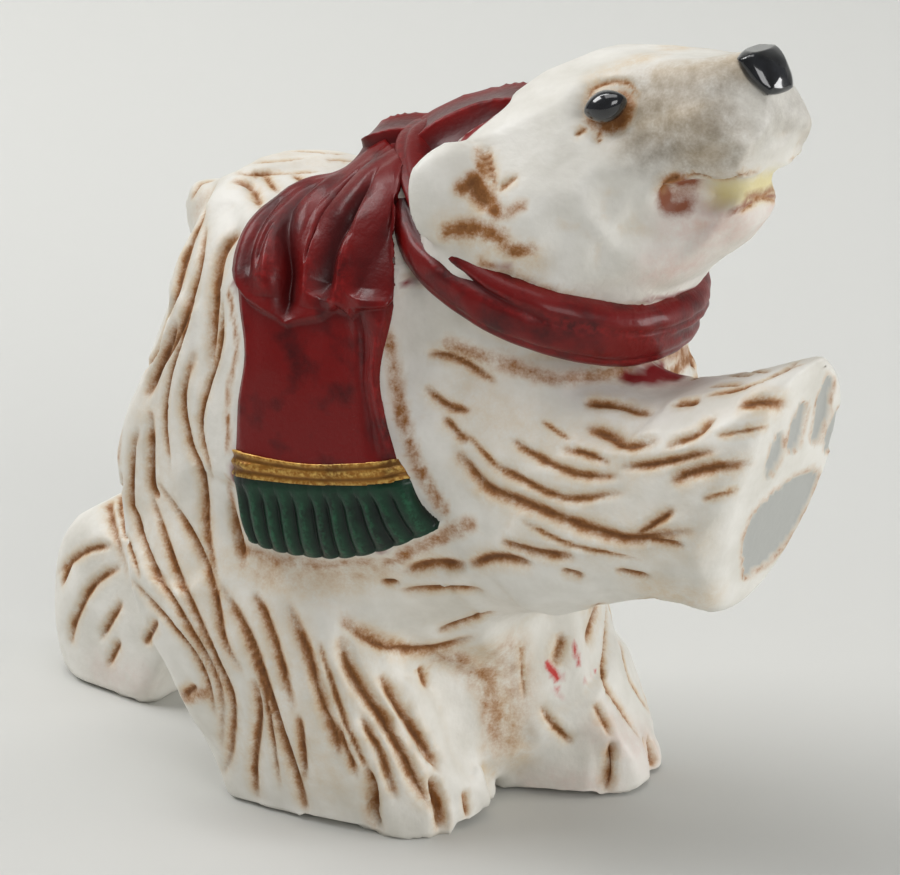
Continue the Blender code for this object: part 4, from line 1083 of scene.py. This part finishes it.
def makeKnot(material):
    # a twisted roll over the nape and the short loop that stands out behind it
    rolls = {
        "scarfKnot": dict(path=[(19, 2, 125.5), (14, 0, 125), (8.5, -2, 122.6), (2, -5, 119.8),
                                (-3, -8, 116.5)],
                          half=[6.0, 8.6, 9.4, 8.9, 6.0], tall=[3.4, 5.0, 6.0, 5.8, 4.0], turns=0.45),
        "scarfLoop": dict(path=[(3, -3, 118.2), (-4, -3.5, 118.4), (-9, -4, 118.2), (-12, -4, 117.6)],
                          half=[6.2, 7.3, 7.2, 5.6], tall=[4.4, 5.0, 4.6, 3.2], turns=0.2),
    }
    for name, roll in rolls.items():
        path = curveThrough(roll["path"], 80)
        run = np.gradient(path, axis=0)
        run /= np.linalg.norm(run, axis=1, keepdims=True)
        across = np.cross(run, [0, 0, 1.0])
        across /= np.linalg.norm(across, axis=1, keepdims=True)
        up = np.cross(across, run)
        half, tall = [curveThrough([(x, 0, 0) for x in roll[key]], 80)[:, 0] for key in ("half", "tall")]
        skin, ridge, shadedValley = tube(path, across, up, half, tall, 2.3, 3, turns=roll["turns"],
                                   depth=0.13, around=110)
        # lighter paint on the ribs' tops and painted shade between them
        masks = {"ridge": ridge * 0.6, "shadedValley": shadedValley * 0.8}
        mesh = gridMesh(name, toRow(skin), closeAcross=True, masks=masks)
        newObject(name, mesh, material)
        outward = skin - path[:, None]
        outward /= np.linalg.norm(outward, axis=2, keepdims=True)
        spots = toRow(skin[::2, ::2]).reshape(-1, 3)
        clothFaces.append((spots, outward[::2, ::2].reshape(-1, 3), np.zeros(len(spots))))


def makeScarf(tree):
    # hanging end, braid and fringe from the knot down, then the turn and the knot over their top
    red, gold, green = [clothMaterial(name) for name in clothPaint]
    layCloth("scarfEnd", tree, scarf["end"], 170, 190, endRelief, red)
    layCloth("scarfBraid", tree, scarf["braid"], 170, 18, braidRelief, gold)
    layCloth("scarfFringe", tree, scarf["fringe"], 240, 44, fringeRelief, green)
    makeTurn(red)
    makeKnot(red)
    print("scarf laid")


# Eyes and nose, placed in the head's frame in mm.
eye = dict(along=49.8, side=14.6, up=13.6, half=(3.7, 2.65, 2.5), ring=4.6, hollow=1.6)
nose = dict(stations=[(68.6, 12.2, 2.2, 0.9), (69.8, 11.3, 4.4, 2.7), (71.1, 10.2, 5.0, 3.9),
                      (72.5, 9.2, 4.7, 4.2), (73.6, 8.4, 3.2, 3.0), (74.1, 8.1, 1.2, 0.9)])


def makeEyesAndNose():
    # eyes: balls drawn out to almonds that look sideways; nose: superellipses from muzzle to tip
    black = glossBlack()
    for name, way in (("eyeRight", 1.0), ("eyeLeft", -1.0)):
        look = headRight * way * 0.85 + headUp * 0.4 + headLong * 0.35
        look /= np.linalg.norm(look)
        lengthways = headLong * 0.9 + headUp * 0.1
        lengthways -= look * (lengthways @ look)
        lengthways /= np.linalg.norm(lengthways)
        wide = np.cross(look, lengthways)
        # an almond: the ball's height shrinks towards both corners
        around = np.linspace(0, 2 * np.pi, 64, endpoint=False)
        turn, lift = np.meshgrid(around, np.linspace(-np.pi / 2, np.pi / 2, 40))
        x = np.cos(lift) * np.cos(turn)
        y = np.cos(lift) * np.sin(turn) * (1 - 0.3 * x ** 2)
        centre = inHead(eye["along"], way * eye["side"], eye["up"])
        a, b, c = eye["half"]
        skin = (centre + x[..., None] * a * lengthways + y[..., None] * b * wide
                + (np.sin(lift) * c)[..., None] * look)
        newObject(name, gridMesh(name, toRow(skin), closeAcross=True), black)
    rows = curveThrough([(s[0], s[1], s[2]) for s in nose["stations"]], 50)
    tall = curveThrough([(s[3], 0, 0) for s in nose["stations"]], 50)[:, 0]
    path = pose["headBase"] + rows[:, :1] * headLong + rows[:, 1:2] * headUp
    across, up = np.repeat(headRight[None], 50, axis=0), np.repeat(headUp[None], 50, axis=0)
    skin, _, _ = tube(path, across, up, rows[:, 2], tall, 2.6, 2, depth=0.05)
    newObject("nose", gridMesh("nose", toRow(skin), closeAcross=True), black)
    print("eyes and nose set")


# Pale sweep, soft boxes and the camera.
studio = dict(floor="#D6D6D2", world=0.2, key=15.0, side=7.0, front=3.6, top=4.0, backdrop=8.5)


def makeStudio():
    # floor that curves up into the backdrop: a flat run, a quarter circle and a wall
    material, _, shader = newMaterial("paleSweep")
    shader.inputs["Base Color"].default_value = hexLinear(studio["floor"])
    shader.inputs["Roughness"].default_value = 0.85
    arc = np.linspace(0, np.pi / 2, 16)
    bend = np.stack([0.9 + 0.5 * np.sin(arc), 0.5 - 0.5 * np.cos(arc)], 1)
    profile = np.vstack([[-1.6, 0], bend, [1.4, 2.6]])
    az = np.radians(view["azimuth"])
    away, across = np.array([-np.sin(az), np.cos(az), 0]), np.array([np.cos(az), np.sin(az), 0])
    left = profile[:, :1] * away + profile[:, 1:] * np.array([0, 0, 1.0]) - across * 2.5
    sheet = np.stack([left, left + across * 5.0], axis=1)
    mesh = bpy.data.meshes.new("sweep")
    faces = [[2 * i, 2 * i + 1, 2 * i + 3, 2 * i + 2] for i in range(len(profile) - 1)]
    mesh.from_pydata(sheet.reshape(-1, 3), [], faces)
    mesh.shade_smooth()
    mesh.materials.append(material)
    floor = bpy.data.objects.new("sweep", mesh)
    bpy.context.scene.collection.objects.link(floor)
    world = bpy.data.worlds.new("softRoom")
    world.use_nodes = True
    world.node_tree.nodes["Background"].inputs["Color"].default_value = hexLinear("#EDEFF2")
    world.node_tree.nodes["Background"].inputs["Strength"].default_value = studio["world"]
    bpy.context.scene.world = world

    def softBox(name, offset, size, power, aim=(0.0, 0.07, 0.0)):
        # offset and aim: right, up and towards the camera, in metres
        light = bpy.data.lights.new(name, "AREA")
        light.shape = "RECTANGLE"
        light.size, light.size_y = size
        light.energy = power
        obj = bpy.data.objects.new(name, light)
        bpy.context.scene.collection.objects.link(obj)
        place, target = [across * at[0] + np.array([0, 0, at[1]]) - away * at[2] for at in (offset, aim)]
        obj.location = place
        obj.rotation_euler = Vector(place - target).to_track_quat("Z", "Y").to_euler()

    softBox("key", (-1.4, 1.5, -0.1), (0.8, 0.8), studio["key"])
    softBox("side", (1.3, 0.2, 0.1), (0.6, 0.5), studio["side"])
    softBox("front", (0.45, 0.6, 1.1), (0.6, 0.5), studio["front"])
    softBox("topLight", (0.0, 1.3, 0.1), (0.9, 0.7), studio["top"])
    softBox("backdropLight", (-0.5, 1.1, -0.3), (0.8, 0.5), studio["backdrop"], aim=(-0.3, 0.5, -1.4))
    lens = bpy.data.cameras.new("photoCamera")
    lens.sensor_width = 36.0
    lens.lens = view["focal"] * lens.sensor_width / view["width"]
    camera = bpy.data.objects.new("photoCamera", lens)
    bpy.context.scene.collection.objects.link(camera)
    rows = [[camRight[i], camUp[i], camBack[i], camPlace[i]] for i in range(3)]
    camera.matrix_world = Matrix(rows + [[0, 0, 0, 1]])
    bpy.context.scene.camera = camera
    bpy.context.scene.view_settings.view_transform = "Standard"
    print("studio lit")


makeCasting(makeScarf)
makeEyesAndNose()
makeStudio()
bpy.context.view_layer.update()
